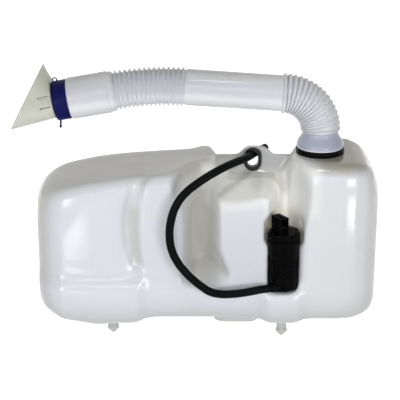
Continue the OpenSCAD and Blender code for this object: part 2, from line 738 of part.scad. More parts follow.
// Pump: everything below stands on its axis, turned to its own frame
base_top = pump_z + base_h;
motor_top = base_top + motor_h;
cap_top = motor_top + cap_h;
housing_wall = 1.8;
can_gap = 0.2;
can_r = pump_r - housing_wall - can_gap;
can_wall = 0.8;
magnet_in_r = armature_r + air_gap;
bearing_r = 3;
bearing_h = 4;
can_low = base_top + 3;
can_high = motor_top - 2;
magnet_h = 19;
armature_h = 15;
armature_z = can_low + 7;
commutator_r = 3.4;
commutator_z = armature_z + armature_h + 2.5;
brush_gap = 0.3;
poles = 3;
pole_w = 3.6;
shoe_t = 1.8;
core_r = 4;
chamber_r = impeller_r + 1.5;
outlet_z = 50;
outlet_r = hose_bore / 2 + 0.2;
outlet_turn = -18;
outlet_aside = 10;
nozzle_start = 9;
nozzle_end = 20;
nozzle_d = 11;
seal_r = 4;

module on_pump() {
  translate([pump_x, -pump_front, 0]) rotate([0, 0, pump_turn]) children();
}

// In the pump's frame, stands on the outlet's axis beside the impeller, with its own Z towards the hose
module at_outlet() {
  rotate([0, 0, outlet_turn]) translate([0, -outlet_aside, outlet_z]) rotate([0, -90, 0]) children();
}

module pump_grommet() color("#202022") {
  on_pump() rotate_extrude() polygon([
    [inlet_r, pump_z],
    [inlet_r + inlet_seal_t + 2, pump_z],
    [inlet_r + inlet_seal_t + 2, pocket_floor],
    [inlet_r + inlet_seal_t, pocket_floor],
    [inlet_r + inlet_seal_t, pocket_floor - 5],
    [inlet_r + inlet_seal_t + 1, pocket_floor - 6],
    [inlet_r + 0.8, pocket_floor - 9],
    [inlet_r, pocket_floor - 9]
  ]);
}

module pump_base() color("#161616") {
  inlet_bore = inlet_r - 1.8;
  nipple_len = 14;
  chamber_low = pump_z + 2;
  chamber_h = 8;
  on_pump() difference() {
    union() {
      rotate_extrude() polygon([
        [0, pump_z],
        [pump_r - 1.2, pump_z],
        [pump_r, pump_z + 1.2],
        [pump_r, base_top],
        [0, base_top]
      ]);
      translate([0, 0, pump_z - nipple_len]) cylinder(r = inlet_r, h = nipple_len + overlap);
      at_outlet() {
        translate([0, 0, nozzle_start]) cylinder(d1 = nozzle_d, d2 = hose_d, h = nozzle_end - nozzle_start);
        translate([0, 0, nozzle_start]) cylinder(r = outlet_r, h = nozzle_end - nozzle_start + 9);
      }
    }
    translate([0, 0, chamber_low]) cylinder(r = chamber_r, h = chamber_h);
    translate([0, 0, pump_z - nipple_len - 1]) cylinder(r = inlet_bore, h = nipple_len + 4);
    at_outlet() cylinder(r = outlet_r - 1, h = nozzle_end + 10);
    translate([0, 0, chamber_low + chamber_h - overlap]) cylinder(r = shaft_r + 0.4, h = base_h);
    translate([0, 0, base_top - 3]) cylinder(r = seal_r, h = 4);
  }
}

module pump_body() color("#161616") {
  rib_count = 24;
  on_pump() {
    difference() {
      translate([0, 0, base_top]) cylinder(r = pump_r - 0.4, h = motor_h);
      translate([0, 0, base_top - 1]) cylinder(r = pump_r - housing_wall, h = motor_h + 2);
    }
    for (i = [0:rib_count - 1]) rotate([0, 0, i * 360 / rib_count])
      translate([pump_r - 0.9, -0.5, base_top]) cube([0.9, 1, motor_h * 0.55]);
  }
}

socket_w = plug_w - 3.4;
socket_h = plug_h - 5;
socket_d = 13;
plug_at = [-4, 2.6];
terminal_t = 0.8;
terminal_w = 2.8;
terminal_y = -1;

module pump_cap() color("#121212") {
  on_pump() difference() {
    union() {
      rotate_extrude() polygon([
        [0, motor_top],
        [ring_r, motor_top],
        [ring_r, motor_top + 4.5],
        [ring_r - 1, motor_top + 5],
        [ring_r - 1, motor_top + 6],
        [ring_r - 0.3, motor_top + 6.5],
        [ring_r - 0.3, motor_top + 10.5],
        [ring_r - 1.6, motor_top + 11.5],
        [ring_r - 2, cap_top],
        [0, cap_top]
      ]);
      translate([plug_at[0] - plug_w / 2, plug_at[1] - plug_d / 2, cap_top - overlap])
        cube([plug_w, plug_d, plug_h + overlap]);
      // Latch rib on the connector's top
      translate([plug_at[0] - 1.5, plug_at[1] - plug_d / 2 + 3, cap_top + plug_h - overlap])
        cube([3, plug_d - 6, 1.2 + overlap]);
    }
    translate([0, 0, motor_top - 1]) cylinder(r = can_r + can_gap, h = cap_h - 1);
    translate([plug_at[0] - socket_w / 2, plug_at[1] - plug_d / 2 - 1, cap_top + 2.5])
      cube([socket_w, socket_d + 1, socket_h]);
    // Key slot beside the socket
    translate([plug_at[0] - socket_w / 2, plug_at[1] - plug_d / 2 - 1, cap_top + 2.5 + socket_h - overlap])
      cube([2.4, socket_d - 3, 1.2 + overlap]);
    for (side = [-1, 1]) translate([plug_at[0] + side * 1.8, plug_at[1] + terminal_y, cap_top - 3])
      cube([terminal_t, terminal_w, 30], center = true);
  }
}

module terminal(side) color("#c9b26a") {
  on_pump() translate([plug_at[0] + side * 1.8, plug_at[1] + terminal_y, 0]) {
    translate([-terminal_t / 2, -terminal_w / 2, motor_top + 3]) cube([terminal_t, terminal_w, cap_h + 4]);
    translate([-terminal_t / 2, -terminal_w / 2 - 6, cap_top + 5]) cube([terminal_t, terminal_w + 6, 2]);
  }
}

module motor_can() color("silver") {
  on_pump() rotate_extrude() polygon([
    [bearing_r, can_low],
    [can_r, can_low],
    [can_r, can_high],
    [can_r - can_wall, can_high],
    [can_r - can_wall, can_low + can_wall],
    [bearing_r + 1, can_low + can_wall],
    [bearing_r + 1, can_low + bearing_h],
    [bearing_r, can_low + bearing_h]
  ]);
}

module magnet(turn) color("#3a3a3c") {
  on_pump() rotate([0, 0, turn - 60]) translate([0, 0, armature_z + (armature_h - magnet_h) / 2])
    rotate_extrude(angle = 120)
    translate([magnet_in_r, 0]) square([can_r - can_wall - magnet_in_r, magnet_h]);
}

module bearing(z) color("#b08d57") {
  on_pump() translate([0, 0, z]) difference() {
    cylinder(r = bearing_r, h = bearing_h);
    translate([0, 0, -1]) cylinder(r = shaft_r + shaft_gap, h = bearing_h + 2);
  }
}

card_z = can_high - 3;

module brush_card() color("#8a5a2b") {
  on_pump() difference() {
    union() {
      translate([0, 0, card_z]) cylinder(r = can_r - can_wall, h = 2);
      translate([0, 0, card_z]) cylinder(r = bearing_r + 1, h = bearing_h);
    }
    translate([0, 0, card_z - 1]) cylinder(r = bearing_r, h = bearing_h + 2);
  }
}

module brush(side) color("#2e2a28") {
  on_pump() rotate([0, 0, side > 0 ? 90 : 270])
    translate([commutator_r + brush_gap, -1.5, commutator_z + 0.5]) cube([5, 3, card_z - commutator_z - 0.5]);
}

module shaft_seal() color("#303030") {
  on_pump() translate([0, 0, base_top - 3]) difference() {
    cylinder(r = seal_r, h = 3);
    translate([0, 0, -1]) cylinder(r = shaft_r + shaft_gap, h = 5);
  }
}

module armature_shaft() color("lightgray") {
  low = pump_z + 3;
  on_pump() translate([0, 0, low]) cylinder(r = shaft_r, h = card_z + bearing_h - low);
}

module armature_core() color("#6f7277") {
  slot_w = 3.2;
  on_pump() translate([0, 0, armature_z]) linear_extrude(armature_h) difference() {
    union() {
      circle(r = core_r);
      difference() {
        circle(r = armature_r);
        circle(r = armature_r - shoe_t);
      }
      for (i = [0:poles - 1]) rotate(i * 360 / poles) translate([0, -pole_w / 2])
        square([armature_r - shoe_t / 2, pole_w]);
    }
    circle(r = shaft_r);
    for (i = [0:poles - 1]) rotate((i + 0.5) * 360 / poles) translate([core_r + 1, -slot_w / 2])
      square([armature_r, slot_w]);
  }
}

module windings() color("#a8552a") {
  coil_t = 1.6;
  coil_in = core_r + 0.6;
  coil_out = armature_r - shoe_t - 1;
  coil_w = pole_w + 2 * coil_t + 0.4;
  on_pump() for (i = [0:poles - 1]) rotate([0, 0, i * 360 / poles]) translate([0, 0, armature_z]) difference() {
    translate([coil_in, -coil_w / 2, -coil_t]) cube([coil_out - coil_in, coil_w, armature_h + 2 * coil_t]);
    translate([0, -pole_w / 2, 0]) cube([armature_r, pole_w, armature_h]);
  }
}

module commutator() color("#b87333") {
  on_pump() translate([0, 0, commutator_z]) difference() {
    cylinder(r = commutator_r, h = card_z - commutator_z - 1);
    translate([0, 0, -1]) cylinder(r = shaft_r, h = 20);
    for (i = [0:poles - 1]) rotate([0, 0, (i + 0.5) * 360 / poles]) translate([shaft_r + 1, -0.25, -1])
      cube([commutator_r, 0.5, 20]);
  }
}

module impeller() color("#d8d8d0") {
  low = pump_z + 3.2;
  on_pump() translate([0, 0, low]) difference() {
    union() {
      cylinder(r = 3, h = 5.6);
      translate([0, 0, 4.4]) cylinder(r = impeller_r, h = 1.2);
      for (i = [0:impeller_blades - 1]) rotate([0, 0, i * 360 / impeller_blades])
        translate([2, -0.5, 0]) cube([impeller_r - 2.2, 1, 4.8]);
    }
    translate([0, 0, -1]) cylinder(r = shaft_r, h = 8);
  }
}

tank();
neck_seal();
filler_tube();
filler_collar();
funnel();
tab_grommet();
hose();
pump_grommet();
pump_base();
pump_body();
pump_cap();
motor_can();
magnet(180);  // magnet_left
magnet(0);  // magnet_right
bearing(can_low);  // lower_bearing
bearing(card_z);  // upper_bearing
brush_card();
brush(-1);  // brush_left
brush(1);  // brush_right
terminal(-1);  // terminal_left
terminal(1);  // terminal_right
shaft_seal();
armature_shaft();
armature_core();
windings();
commutator();
impeller();
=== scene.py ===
import json
import math

import bmesh
import bpy
from mathutils import Matrix, Vector


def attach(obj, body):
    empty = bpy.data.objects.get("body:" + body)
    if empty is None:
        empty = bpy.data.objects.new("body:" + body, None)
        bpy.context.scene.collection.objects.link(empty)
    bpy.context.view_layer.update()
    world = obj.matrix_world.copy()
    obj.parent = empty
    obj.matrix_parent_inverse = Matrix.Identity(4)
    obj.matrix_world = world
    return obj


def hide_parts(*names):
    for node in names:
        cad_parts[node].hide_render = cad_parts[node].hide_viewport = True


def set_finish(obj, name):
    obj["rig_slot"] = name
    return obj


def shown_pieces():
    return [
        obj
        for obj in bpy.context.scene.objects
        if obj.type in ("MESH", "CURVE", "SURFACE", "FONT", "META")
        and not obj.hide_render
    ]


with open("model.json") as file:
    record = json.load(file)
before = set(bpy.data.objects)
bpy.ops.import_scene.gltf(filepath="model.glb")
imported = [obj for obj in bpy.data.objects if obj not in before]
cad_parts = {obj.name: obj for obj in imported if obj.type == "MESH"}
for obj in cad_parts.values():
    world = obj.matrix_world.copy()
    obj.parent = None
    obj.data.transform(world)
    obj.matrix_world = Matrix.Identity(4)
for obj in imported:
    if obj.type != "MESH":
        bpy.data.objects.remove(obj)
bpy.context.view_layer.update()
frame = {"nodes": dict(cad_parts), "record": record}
nodes = frame["nodes"]
scene = bpy.context.scene
scene.view_settings.view_transform = "Standard"
mm = 0.001
print("frame loaded:", len(nodes), "nodes")

# Camera
cameraLook = {
    "target": (0.1031, 0.0, 0.1323),
    "distance": 1.5,
    "elevation": 20,
    "lens": 117.4,
    "sensor": 36,
    "farthest": 40,
}


def placeCamera(look):
    lift = math.radians(look["elevation"])
    shot = bpy.data.cameras.new("camera")
    shot.lens = look["lens"]
    shot.sensor_width = look["sensor"]
    shot.clip_end = look["farthest"]
    camera = bpy.data.objects.new("camera", shot)
    away = Vector((0, -math.cos(lift), math.sin(lift)))
    camera.location = Vector(look["target"]) + look["distance"] * away
    camera.rotation_euler = (math.pi / 2 - lift, 0, 0)
    scene.collection.objects.link(camera)
    scene.camera = camera


placeCamera(cameraLook)

# Making pieces
quarterTurn, fullTurn = math.pi / 2, 2 * math.pi
weldGap, cadGap = 1e-6, 2e-6


def linkMesh(bm, name):
    mesh = bpy.data.meshes.new(name)
    bm.to_mesh(mesh)
    bm.free()
    piece = bpy.data.objects.new(name, mesh)
    scene.collection.objects.link(piece)
    return piece


# The mesh that an object's modifiers or bevel give, in place of the object
def takeMesh(helper):
    graph = bpy.context.evaluated_depsgraph_get()
    bm = bmesh.new()
    bm.from_mesh(bpy.data.meshes.new_from_object(helper.evaluated_get(graph)))
    bpy.data.objects.remove(helper)
    return bm


def shade(bm, crease):
    for face in bm.faces:
        face.smooth = True
    for edge in bm.edges:
        edge.smooth = edge.calc_face_angle(0) < math.radians(crease)


def addPiece(bm, name, slot, node, crease=38):
    shade(bm, crease)
    piece = linkMesh(bm, name)
    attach(piece, "reservoir")
    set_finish(piece, slot)
    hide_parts(node)
    return piece


def closeUp(bm):
    bmesh.ops.remove_doubles(bm, verts=bm.verts, dist=weldGap)
    bmesh.ops.recalc_face_normals(bm, faces=bm.faces)


# A merged copy of a CAD node's mesh
def copyNode(name):
    bm = bmesh.new()
    bm.from_mesh(nodes[name].data)
    bmesh.ops.remove_doubles(bm, verts=bm.verts, dist=cadGap)
    return bm


def spinAround(bm, geom, steps):
    bmesh.ops.spin(bm, geom=geom, cent=(0, 0, 0), axis=(0, 0, 1), dvec=(0, 0, 0),
                   angle=fullTurn, steps=steps, use_merge=True, use_duplicate=False)


# Points are (along, out) in mm
def spinProfile(points, steps, closed=True):
    bm = bmesh.new()
    ring = [bm.verts.new((r * mm, 0, z * mm)) for z, r in points]
    edges = [bm.edges.new((a, b)) for a, b in zip(ring, ring[1:] + ring[:1] * closed)]
    spinAround(bm, ring + edges, steps)
    closeUp(bm)
    return bm


def stepsFrom(along, out, steps):
    return [(along + a, out + b) for a, b in steps]


def between(low, high, share):
    return low + (high - low) * share


def clamp(value):
    return min(1, max(0, value))


def smoothStep(t):
    return t * t * (3 - 2 * t)


# Hose: one rubber tube from the pump's outlet to its bare end behind the tab
hoseLook = {
    "diameter": 9.2,
    "bore": 6.0,
    "length": 0.347,
    "stepsAlong": 5,
    "stepsAround": 6,
    "endRound": 0.5,
    "endAngle": 50,
    "route": [
        (180.5, -64.8, 50), (171.8, -67.2, 49.7), (161, -70, 48.7), (149, -72, 47.5), (138, -72.5, 46.5),
        (126, -72.5, 46.5), (115, -72.5, 49), (105, -72, 55.5), (95, -71.5, 64), (86, -71, 73.5),
        (78, -70.5, 84.5), (72, -70, 98), (69.5, -70, 114), (71.5, -70, 135), (78, -69.5, 153),
        (88, -68.5, 166), (99.5, -66.5, 175), (110.5, -62.5, 181.5), (121, -56.5, 186), (130, -49, 188.5),
        (139, -39.5, 189.5), (148, -27.5, 189.3), (156.8, -14, 188.7), (163.3, -1, 188.2), (170.3, 11.5, 188.2),
        (178.5, 23, 188.6),
    ],
}


def buildHose(look):
    route = [Vector(p) * mm for p in look["route"]]
    line = bpy.data.curves.new("hoseLine", "CURVE")
    line.dimensions = "3D"
    line.resolution_u = look["stepsAlong"]
    line.bevel_depth = look["diameter"] / 2 * mm
    line.bevel_resolution = look["stepsAround"]
    spline = line.splines.new("BEZIER")
    spline.bezier_points.add(len(route) - 1)
    for knot, place in zip(spline.bezier_points, route):
        knot.co = place
        knot.handle_left_type = knot.handle_right_type = "AUTO"
    guide = bpy.data.objects.new("hoseLine", line)
    scene.collection.objects.link(guide)
    bm = takeMesh(guide)
    closeUp(bm)
    hose = addPiece(bm, "hose_tube", "black_rubber", "hose")
    wall = hose.modifiers.new("wall", "SOLIDIFY")
    wall.thickness = (look["diameter"] - look["bore"]) / 2 * mm
    wall.offset = -1
    soft = hose.modifiers.new("soft ends", "BEVEL")
    soft.width = look["endRound"] * mm
    soft.segments = 2
    soft.limit_method = "ANGLE"
    soft.angle_limit = math.radians(look["endAngle"])
    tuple(route[0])


buildHose(hoseLook)
print("hose built")

# Tank: the outer skin of the blow moulding, with its edges softened as a blown skin is
tankLook = {
    "neck": (239, 0, 23.5),
    "inlet": (197.2, -50, 8.5),
    "wallSlack": 0.06,
    "uprightSlope": 0.1,
    "voxel": 2.0,
    "smoothing": 0.5,
    "rounds": 9,
    "edgeRounds": 150,
    "edgeFrom": (112, 132),
    "edgeTo": (-12, 16),
    "edgeFront": (4, 30),
    "backShare": 0.3,
    "webRounds": 7,
    "webSpan": (118, 214),
    "webFrom": (164, 178),
    "webEase": 8,
    "webHalf": (6, 12),
    "seamHalf": 0.7,
    "seamHeight": 0.2,
    "seamSnap": 0.02,
    "pegs": ((0, 0), (199.4, -8)),
    "pegSteps": 40,
    "pegProfile": [
        (8, 5.85), (-24.8, 5.85), (-25.2, 6.0), (-25.8, 6.5), (-26.2, 6.76), (-26.6, 6.8), (-28.5, 6.8),
        (-28.9, 6.72), (-29.3, 6.45), (-34.4, 2.0), (-34.8, 1.5), (-35, 0.9), (-35, 0),
    ],
}


def onWall(vert, hole, slack):
    x, y, r = (v * mm for v in hole)
    return abs(math.hypot(vert.co.x - x, vert.co.y - y) - r) < slack * mm


def islands(bm):
    left = set(bm.verts)
    while left:
        group, front = set(), [left.pop()]
        while front:
            vert = front.pop()
            group.add(vert)
            for edge in vert.link_edges:
                other = edge.other_vert(vert)
                if other in left:
                    left.remove(other)
                    front.append(other)
        yield group


def spread(group):
    xs = [v.co.x for v in group]
    return max(xs) - min(xs)


# Rounds of smoothing at a point: more on the left block's soft top edge, fewer on the thin web and its tab
def roundsAt(co, look):
    x, y, z = (c / mm for c in co)
    (bottom, top), (inside, outside), (near, far) = look["edgeFrom"], look["edgeTo"], look["edgeFront"]
    share = clamp(min((z - bottom) / (top - bottom), (outside - x) / (outside - inside)))
    if share:
        share *= between(look["backShare"], 1, clamp((-y - near) / (far - near)))
        return round(between(look["rounds"], look["edgeRounds"], share))
    (low, high), (left, right), (thin, thick) = look["webFrom"], look["webSpan"], look["webHalf"]
    share = clamp(min((z - low) / (high - low), (x - left) / look["webEase"],
                      (right - x) / look["webEase"], (thick - abs(y)) / (thick - thin)))
    return round(between(look["rounds"], look["webRounds"], share))


# The outer skin alone: the walls of both holes go, then the inner skin, and the holes are closed
def outerSkin(look):
    bm = copyNode("tank")
    for hole in (look["neck"], look["inlet"]):
        upright = [f for f in bm.faces if abs(f.normal.z) < look["uprightSlope"]]
        inner = [f for f in upright if all(onWall(v, hole, look["wallSlack"]) for v in f.verts)]
        bmesh.ops.delete(bm, geom=inner, context="FACES")
    groups = sorted(islands(bm), key=spread)
    for group in groups[:-1]:
        bmesh.ops.delete(bm, geom=list(group), context="VERTS")
    bmesh.ops.holes_fill(bm, edges=[e for e in bm.edges if e.is_boundary], sides=0)
    closeUp(bm)
    return bm


def buildTank(look):
    rough = linkMesh(outerSkin(look), "tankRough")
    remesh = rough.modifiers.new("skin", "REMESH")
    remesh.mode = "VOXEL"
    remesh.voxel_size = look["voxel"] * mm
    bm = takeMesh(rough)
    wanted = [(v, roundsAt(v.co, look)) for v in bm.verts]
    for turn in range(look["edgeRounds"]):
        soft = [v for v, rounds in wanted if turn < rounds]
        bmesh.ops.smooth_vert(bm, verts=soft, factor=look["smoothing"],
                              use_axis_x=True, use_axis_y=True, use_axis_z=True)
    # the mould's parting seam
    half = look["seamHalf"] * mm
    for y in (-half, half, 0):
        cut = bmesh.ops.bisect_plane(bm, geom=bm.verts[:] + bm.edges[:] + bm.faces[:],
                                     dist=look["seamSnap"] * mm, plane_co=(0, y, 0), plane_no=(0, 1, 0))
    bm.normal_update()
    for vert in [g for g in cut["geom_cut"] if isinstance(g, bmesh.types.BMVert)]:
        vert.co += vert.normal * look["seamHeight"] * mm
    # crisp locating pegs over the softened ones
    for x, y in look["pegs"]:
        peg = spinProfile(look["pegProfile"], look["pegSteps"], closed=False)
        bmesh.ops.translate(peg, verts=peg.verts, vec=(x * mm, y * mm, 0))
        mesh = bpy.data.meshes.new("peg")
        peg.to_mesh(mesh)
        peg.free()
        bm.from_mesh(mesh)
    return addPiece(bm, "tank_shell", "tank_plastic", "tank", crease=50)


tank = buildTank(tankLook)
print("tank built:", len(tank.data.polygons), "faces")

# Filler tube: a straight profile spun about its axis, then led along the bent axis
tubeLook = {
    "foot": (239, 197.4),
    "spigot": {"depth": 17.4, "r": 20.5, "end": [(0, -1), (2, 0)], "top": [(-0.2, 0), (0, 0.2)], "boreTo": 8},
    "bell": {"length": 19, "r": 26.6, "foot": [(0, -0.8), (0.2, -0.3), (0.7, 0)],
             "from": 3, "short": 4.5, "over": 0.8, "steps": 10},
    "elbow": {"radius": 42.5, "turn": 86.1, "waves": 15, "crest": 22.6, "root": 19.4,
              "wave": (0, 0.08, 0.2, 0.35, 0.5, 0.65, 0.8, 0.92), "fullness": 0.7, "boreSteps": 20,
              "bead": 5, "beadOver": 0.4, "beadWave": (0, 0.1, 0.25, 0.4, 0.55, 0.7, 0.85)},
    "smooth": {"length": 112, "r": 20.3, "land": 1, "steps": 12},
    "bellows": {"length": 77.5, "turn": 13.8, "folds": 15, "crest": 22.3, "root": 18.9,
                "fold": ((0.12, 0.25), (0.25, 0.04), (0.3, 0), (0.35, 0.04), (0.5, 0.42),
                         (0.7, 0.9), (0.75, 1), (0.83, 1), (0.88, 0.9)),
                "last": [(0.5, 0.1), (1, 0.5)]},
    "cuff": {"length": 54.5, "r": 23.5, "steps": 6, "run": 11.7, "boreFrom": 9,
             "shoulder": [(3.3, -1.6), (3.9, -1.15), (4.6, -1), (7.8, -0.9), (8.3, -0.7), (8.8, -0.15),
                          (9.3, 0)],
             "end": [(-1.5, -0.2), (-0.7, -0.7), (-0.2, -1.5), (0, -2.2)]},
    "collar": {"length": 16.5, "r": 22.4, "wall": 2.2, "lip": 3},
    "wall": 1.7,
    "steps": 72,
}


# Where the tube's lengths start, from the bell's foot: elbow, smooth tube, bellows, cuff, collar, and the end
def tubeMarks(look):
    elbow = look["elbow"]["radius"] * math.radians(look["elbow"]["turn"])
    atElbow = look["bell"]["length"]
    atSmooth = atElbow + elbow
    atBellows = atSmooth + look["smooth"]["length"]
    atCuff = atBellows + look["bellows"]["length"]
    atCollar = atCuff + look["cuff"]["length"]
    end = atCollar + look["collar"]["length"] - look["collar"]["lip"]
    return atElbow, atSmooth, atBellows, atCuff, atCollar, end


def turned(place, radius, angle):
    x, z, heading = place
    a, b = math.radians(heading), math.radians(heading + angle)
    return x + radius * (math.sin(b) - math.sin(a)), z - radius * (math.cos(b) - math.cos(a)), heading + angle


def ahead(place, distance):
    x, z, heading = place
    a = math.radians(heading)
    return x + distance * math.cos(a), z + distance * math.sin(a), heading


# Place and heading of the tube's axis at a distance s from the bell's foot, in mm
def tubeAxis(s, look=tubeLook):
    atElbow, atSmooth, atBellows, atCuff, _, _ = tubeMarks(look)
    elbow, bellows = look["elbow"], look["bellows"]
    start = (*look["foot"], 90)
    if s < atElbow:
        return ahead(start, s)
    start = ahead(start, atElbow)
    if s < atSmooth:
        return turned(start, elbow["radius"], math.degrees((s - atElbow) / elbow["radius"]))
    start = turned(start, elbow["radius"], elbow["turn"])
    if s < atBellows:
        return ahead(start, s - atSmooth)
    start = ahead(start, look["smooth"]["length"])
    bendR = bellows["length"] / math.radians(bellows["turn"])
    if s < atCuff:
        return turned(start, bendR, math.degrees((s - atBellows) / bendR))
    return ahead(turned(start, bendR, bellows["turn"]), s - atCuff)


def standOnAxis(bm):
    for vert in bm.verts:
        x, z, heading = tubeAxis(vert.co.z / mm)
        a = math.radians(heading)
        vert.co = (x * mm + vert.co.x * math.sin(a), vert.co.y, z * mm - vert.co.x * math.cos(a))


# The outside, from the spigot's end to the neck under the collar
def tubeOuter(look):
    atElbow, atSmooth, atBellows, atCuff, atCollar, end = tubeMarks(look)
    spigot, bell, elbow, bellows, cuff = (look[k] for k in ("spigot", "bell", "elbow", "bellows", "cuff"))
    smooth, land, bead = look["smooth"]["r"], look["smooth"]["land"], elbow["bead"]
    neckR = look["collar"]["r"] - look["collar"]["wall"]
    outer = stepsFrom(-spigot["depth"], spigot["r"], spigot["end"]) + stepsFrom(0, spigot["r"], spigot["top"])
    outer += stepsFrom(0, bell["r"], bell["foot"])
    draw = bell["r"] - elbow["root"] - bell["over"]
    for i in range(bell["steps"] + 1):  # the bell draws in to the first fold
        t = i / bell["steps"]
        along = bell["from"] + t * (bell["length"] - bell["short"])
        outer.append((along, bell["r"] - draw * smoothStep(t)))

    def waveR(f, over=0):
        return between(elbow["root"], elbow["crest"] + over, math.sin(math.pi * f) ** elbow["fullness"])

    pitch = (atSmooth - atElbow) / elbow["waves"]
    for i in range(elbow["waves"]):  # rounded beads with tight valleys
        outer += [(atElbow + (i + f) * pitch, waveR(f)) for f in elbow["wave"]]
    # the larger bead before the smooth length
    outer += [(atSmooth + bead * f, waveR(f, elbow["beadOver"])) for f in elbow["beadWave"]]
    start, run = atSmooth + bead + land, look["smooth"]["length"] - bead - 2 * land
    outer += [(atSmooth + bead, smooth)]
    outer += [(start + run * i / look["smooth"]["steps"], smooth) for i in range(look["smooth"]["steps"] + 1)]
    pitch = (atCuff - atBellows) / bellows["folds"]
    for i in range(bellows["folds"]):  # sharp folds
        outer += [(atBellows + (i + f) * pitch, between(bellows["root"], bellows["crest"], rise))
                  for f, rise in bellows["fold"]]
    # a chamfered shoulder, a low land and a small step lead to the cuff
    outer += stepsFrom(atCuff, bellows["root"], bellows["last"])
    outer += stepsFrom(atCuff, cuff["r"], cuff["shoulder"])
    start, run = atCuff + cuff["shoulder"][-1][0], atCollar - atCuff - cuff["run"]
    outer += [(start + run * i / cuff["steps"], cuff["r"]) for i in range(1, cuff["steps"] + 1)]
    return outer + stepsFrom(atCollar, cuff["r"], cuff["end"]) + [(atCollar, neckR), (end, neckR)]


# The bore, from the neck back to the spigot's end
def tubeInner(look, outer):
    atElbow, atSmooth, _, atCuff, atCollar, end = tubeMarks(look)
    spigot, elbow, wall = look["spigot"], look["elbow"], look["wall"]
    neckR = look["collar"]["r"] - look["collar"]["wall"] - wall
    cuffR, elbowR, spigotR = look["cuff"]["r"] - 1.5 * wall, elbow["root"] - wall, spigot["r"] - 2 * wall
    inner = [(end, neckR), (atCollar - wall, neckR), (atCollar - 3 * wall, cuffR)]
    inner += [(atCuff + look["cuff"]["boreFrom"], cuffR)]
    inner += [(s, r - wall) for s, r in reversed(outer) if atSmooth + elbow["bead"] < s < atCuff + 1]
    inner += [(atSmooth, elbowR)]
    steps = elbow["boreSteps"]
    inner += [(atElbow + (atSmooth - atElbow) * i / steps, elbowR) for i in range(steps - 1, -1, -1)]
    return inner + [(spigot["boreTo"], spigotR), (-spigot["depth"], spigotR)]


def buildTube(look):
    outer = tubeOuter(look)
    bm = spinProfile(outer + tubeInner(look, outer), look["steps"])
    standOnAxis(bm)
    return addPiece(bm, "filler_hose", "tube_plastic", "filler_tube", crease=60)


tube = buildTube(tubeLook)
print("filler tube built:", len(tube.data.polygons), "faces")

# Collar: a coloured retaining band with a small loop on top and a tail below
collarLook = {
    "bandFront": [(0, -0.9), (0.25, -0.35), (0.8, -0.05), (1.4, 0)],
    "bandBack": [(-4, 0), (-2.6, -0.15), (-1, -0.5), (-0.3, -0.8), (0, -1.3)],
    "bandLip": [(0, -0.8), (-0.3, -1.2), (-1.4, -1.2), (-1.4, 0.1)],
    "bandGap": 0.1,
    "bandSteps": 80,
    "loopR": 2.3,
    "loopWire": 0.7,
    "loopAt": 11.5,
    "loopSink": 0.7,
    "loopSteps": (12, 28),
    "tailLength": 8.4,
    "tailWire": 1.15,
    "tailTaper": 0.9,
    "tailAt": 14.2,
    "tailSink": 0.6,
    "tailLean": 12,
    "tailTip": 1.6,
    "tailSteps": (16, 10),
}


# Where the tube's axis is at s, with Z ahead along it and X on its upper side
def axisFrame(s):
    x, z, heading = tubeAxis(s)
    a = math.radians(heading)
    return Matrix((
        (math.sin(a), 0, math.cos(a), x * mm),
        (0, 1, 0, 0),
        (-math.cos(a), 0, math.sin(a), z * mm),
        (0, 0, 0, 1),
    ))


def shifted(x, y, z):
    return Matrix.Translation((x * mm, y * mm, z * mm))


def buildCollar(look, sizes):
    *_, atCollar, _ = tubeMarks(tubeLook)
    r, long = sizes["r"], sizes["length"]
    neck = r - sizes["wall"]
    band = [(0, neck + look["bandGap"])] + stepsFrom(0, r, look["bandFront"])
    band += stepsFrom(long, r, look["bandBack"]) + stepsFrom(long, neck, look["bandLip"])
    bm = spinProfile(band, look["bandSteps"])
    upright = Matrix.Rotation(quarterTurn, 4, "X")
    # loop: a wire ring that stands on the band
    around, along = look["loopSteps"]
    wire = bmesh.ops.create_circle(bm, segments=around, radius=look["loopWire"] * mm)["verts"]
    bmesh.ops.transform(bm, verts=wire, matrix=shifted(look["loopR"], 0, 0) @ upright)
    before = set(bm.verts) - set(wire)
    spinAround(bm, wire + list({e for v in wire for e in v.link_edges}), along)
    ring = [v for v in bm.verts if v not in before]
    stand = shifted(r + look["loopR"] - look["loopSink"], 0, look["loopAt"])
    bmesh.ops.transform(bm, verts=ring, matrix=stand @ upright)
    # tail: a strap's stub with a rounded tip, which leans towards the funnel
    around, along = look["tailSteps"]
    lean, thick = math.radians(look["tailLean"]), look["tailWire"] * mm
    root = Vector((look["tailSink"] - r, 0, look["tailAt"]))
    down = Vector((-math.cos(lean), 0, math.sin(lean))) * look["tailLength"]
    stub = bmesh.ops.create_cone(bm, cap_ends=True, segments=around, radius1=thick,
                                 radius2=thick * look["tailTaper"], depth=look["tailLength"] * mm)["verts"]
    place = shifted(*(root + down / 2)) @ Matrix.Rotation(lean - quarterTurn, 4, "Y")
    bmesh.ops.transform(bm, verts=stub, matrix=place)
    tip = bmesh.ops.create_uvsphere(bm, u_segments=around, v_segments=along,
                                    radius=look["tailTip"] * mm)["verts"]
    bmesh.ops.transform(bm, verts=tip, matrix=shifted(*(root + down)))
    bmesh.ops.transform(bm, verts=bm.verts, matrix=axisFrame(atCollar))
    closeUp(bm)
    addPiece(bm, "collar_band", "navy_plastic", "filler_collar")


buildCollar(collarLook, tubeLook["collar"])
print("collar built")

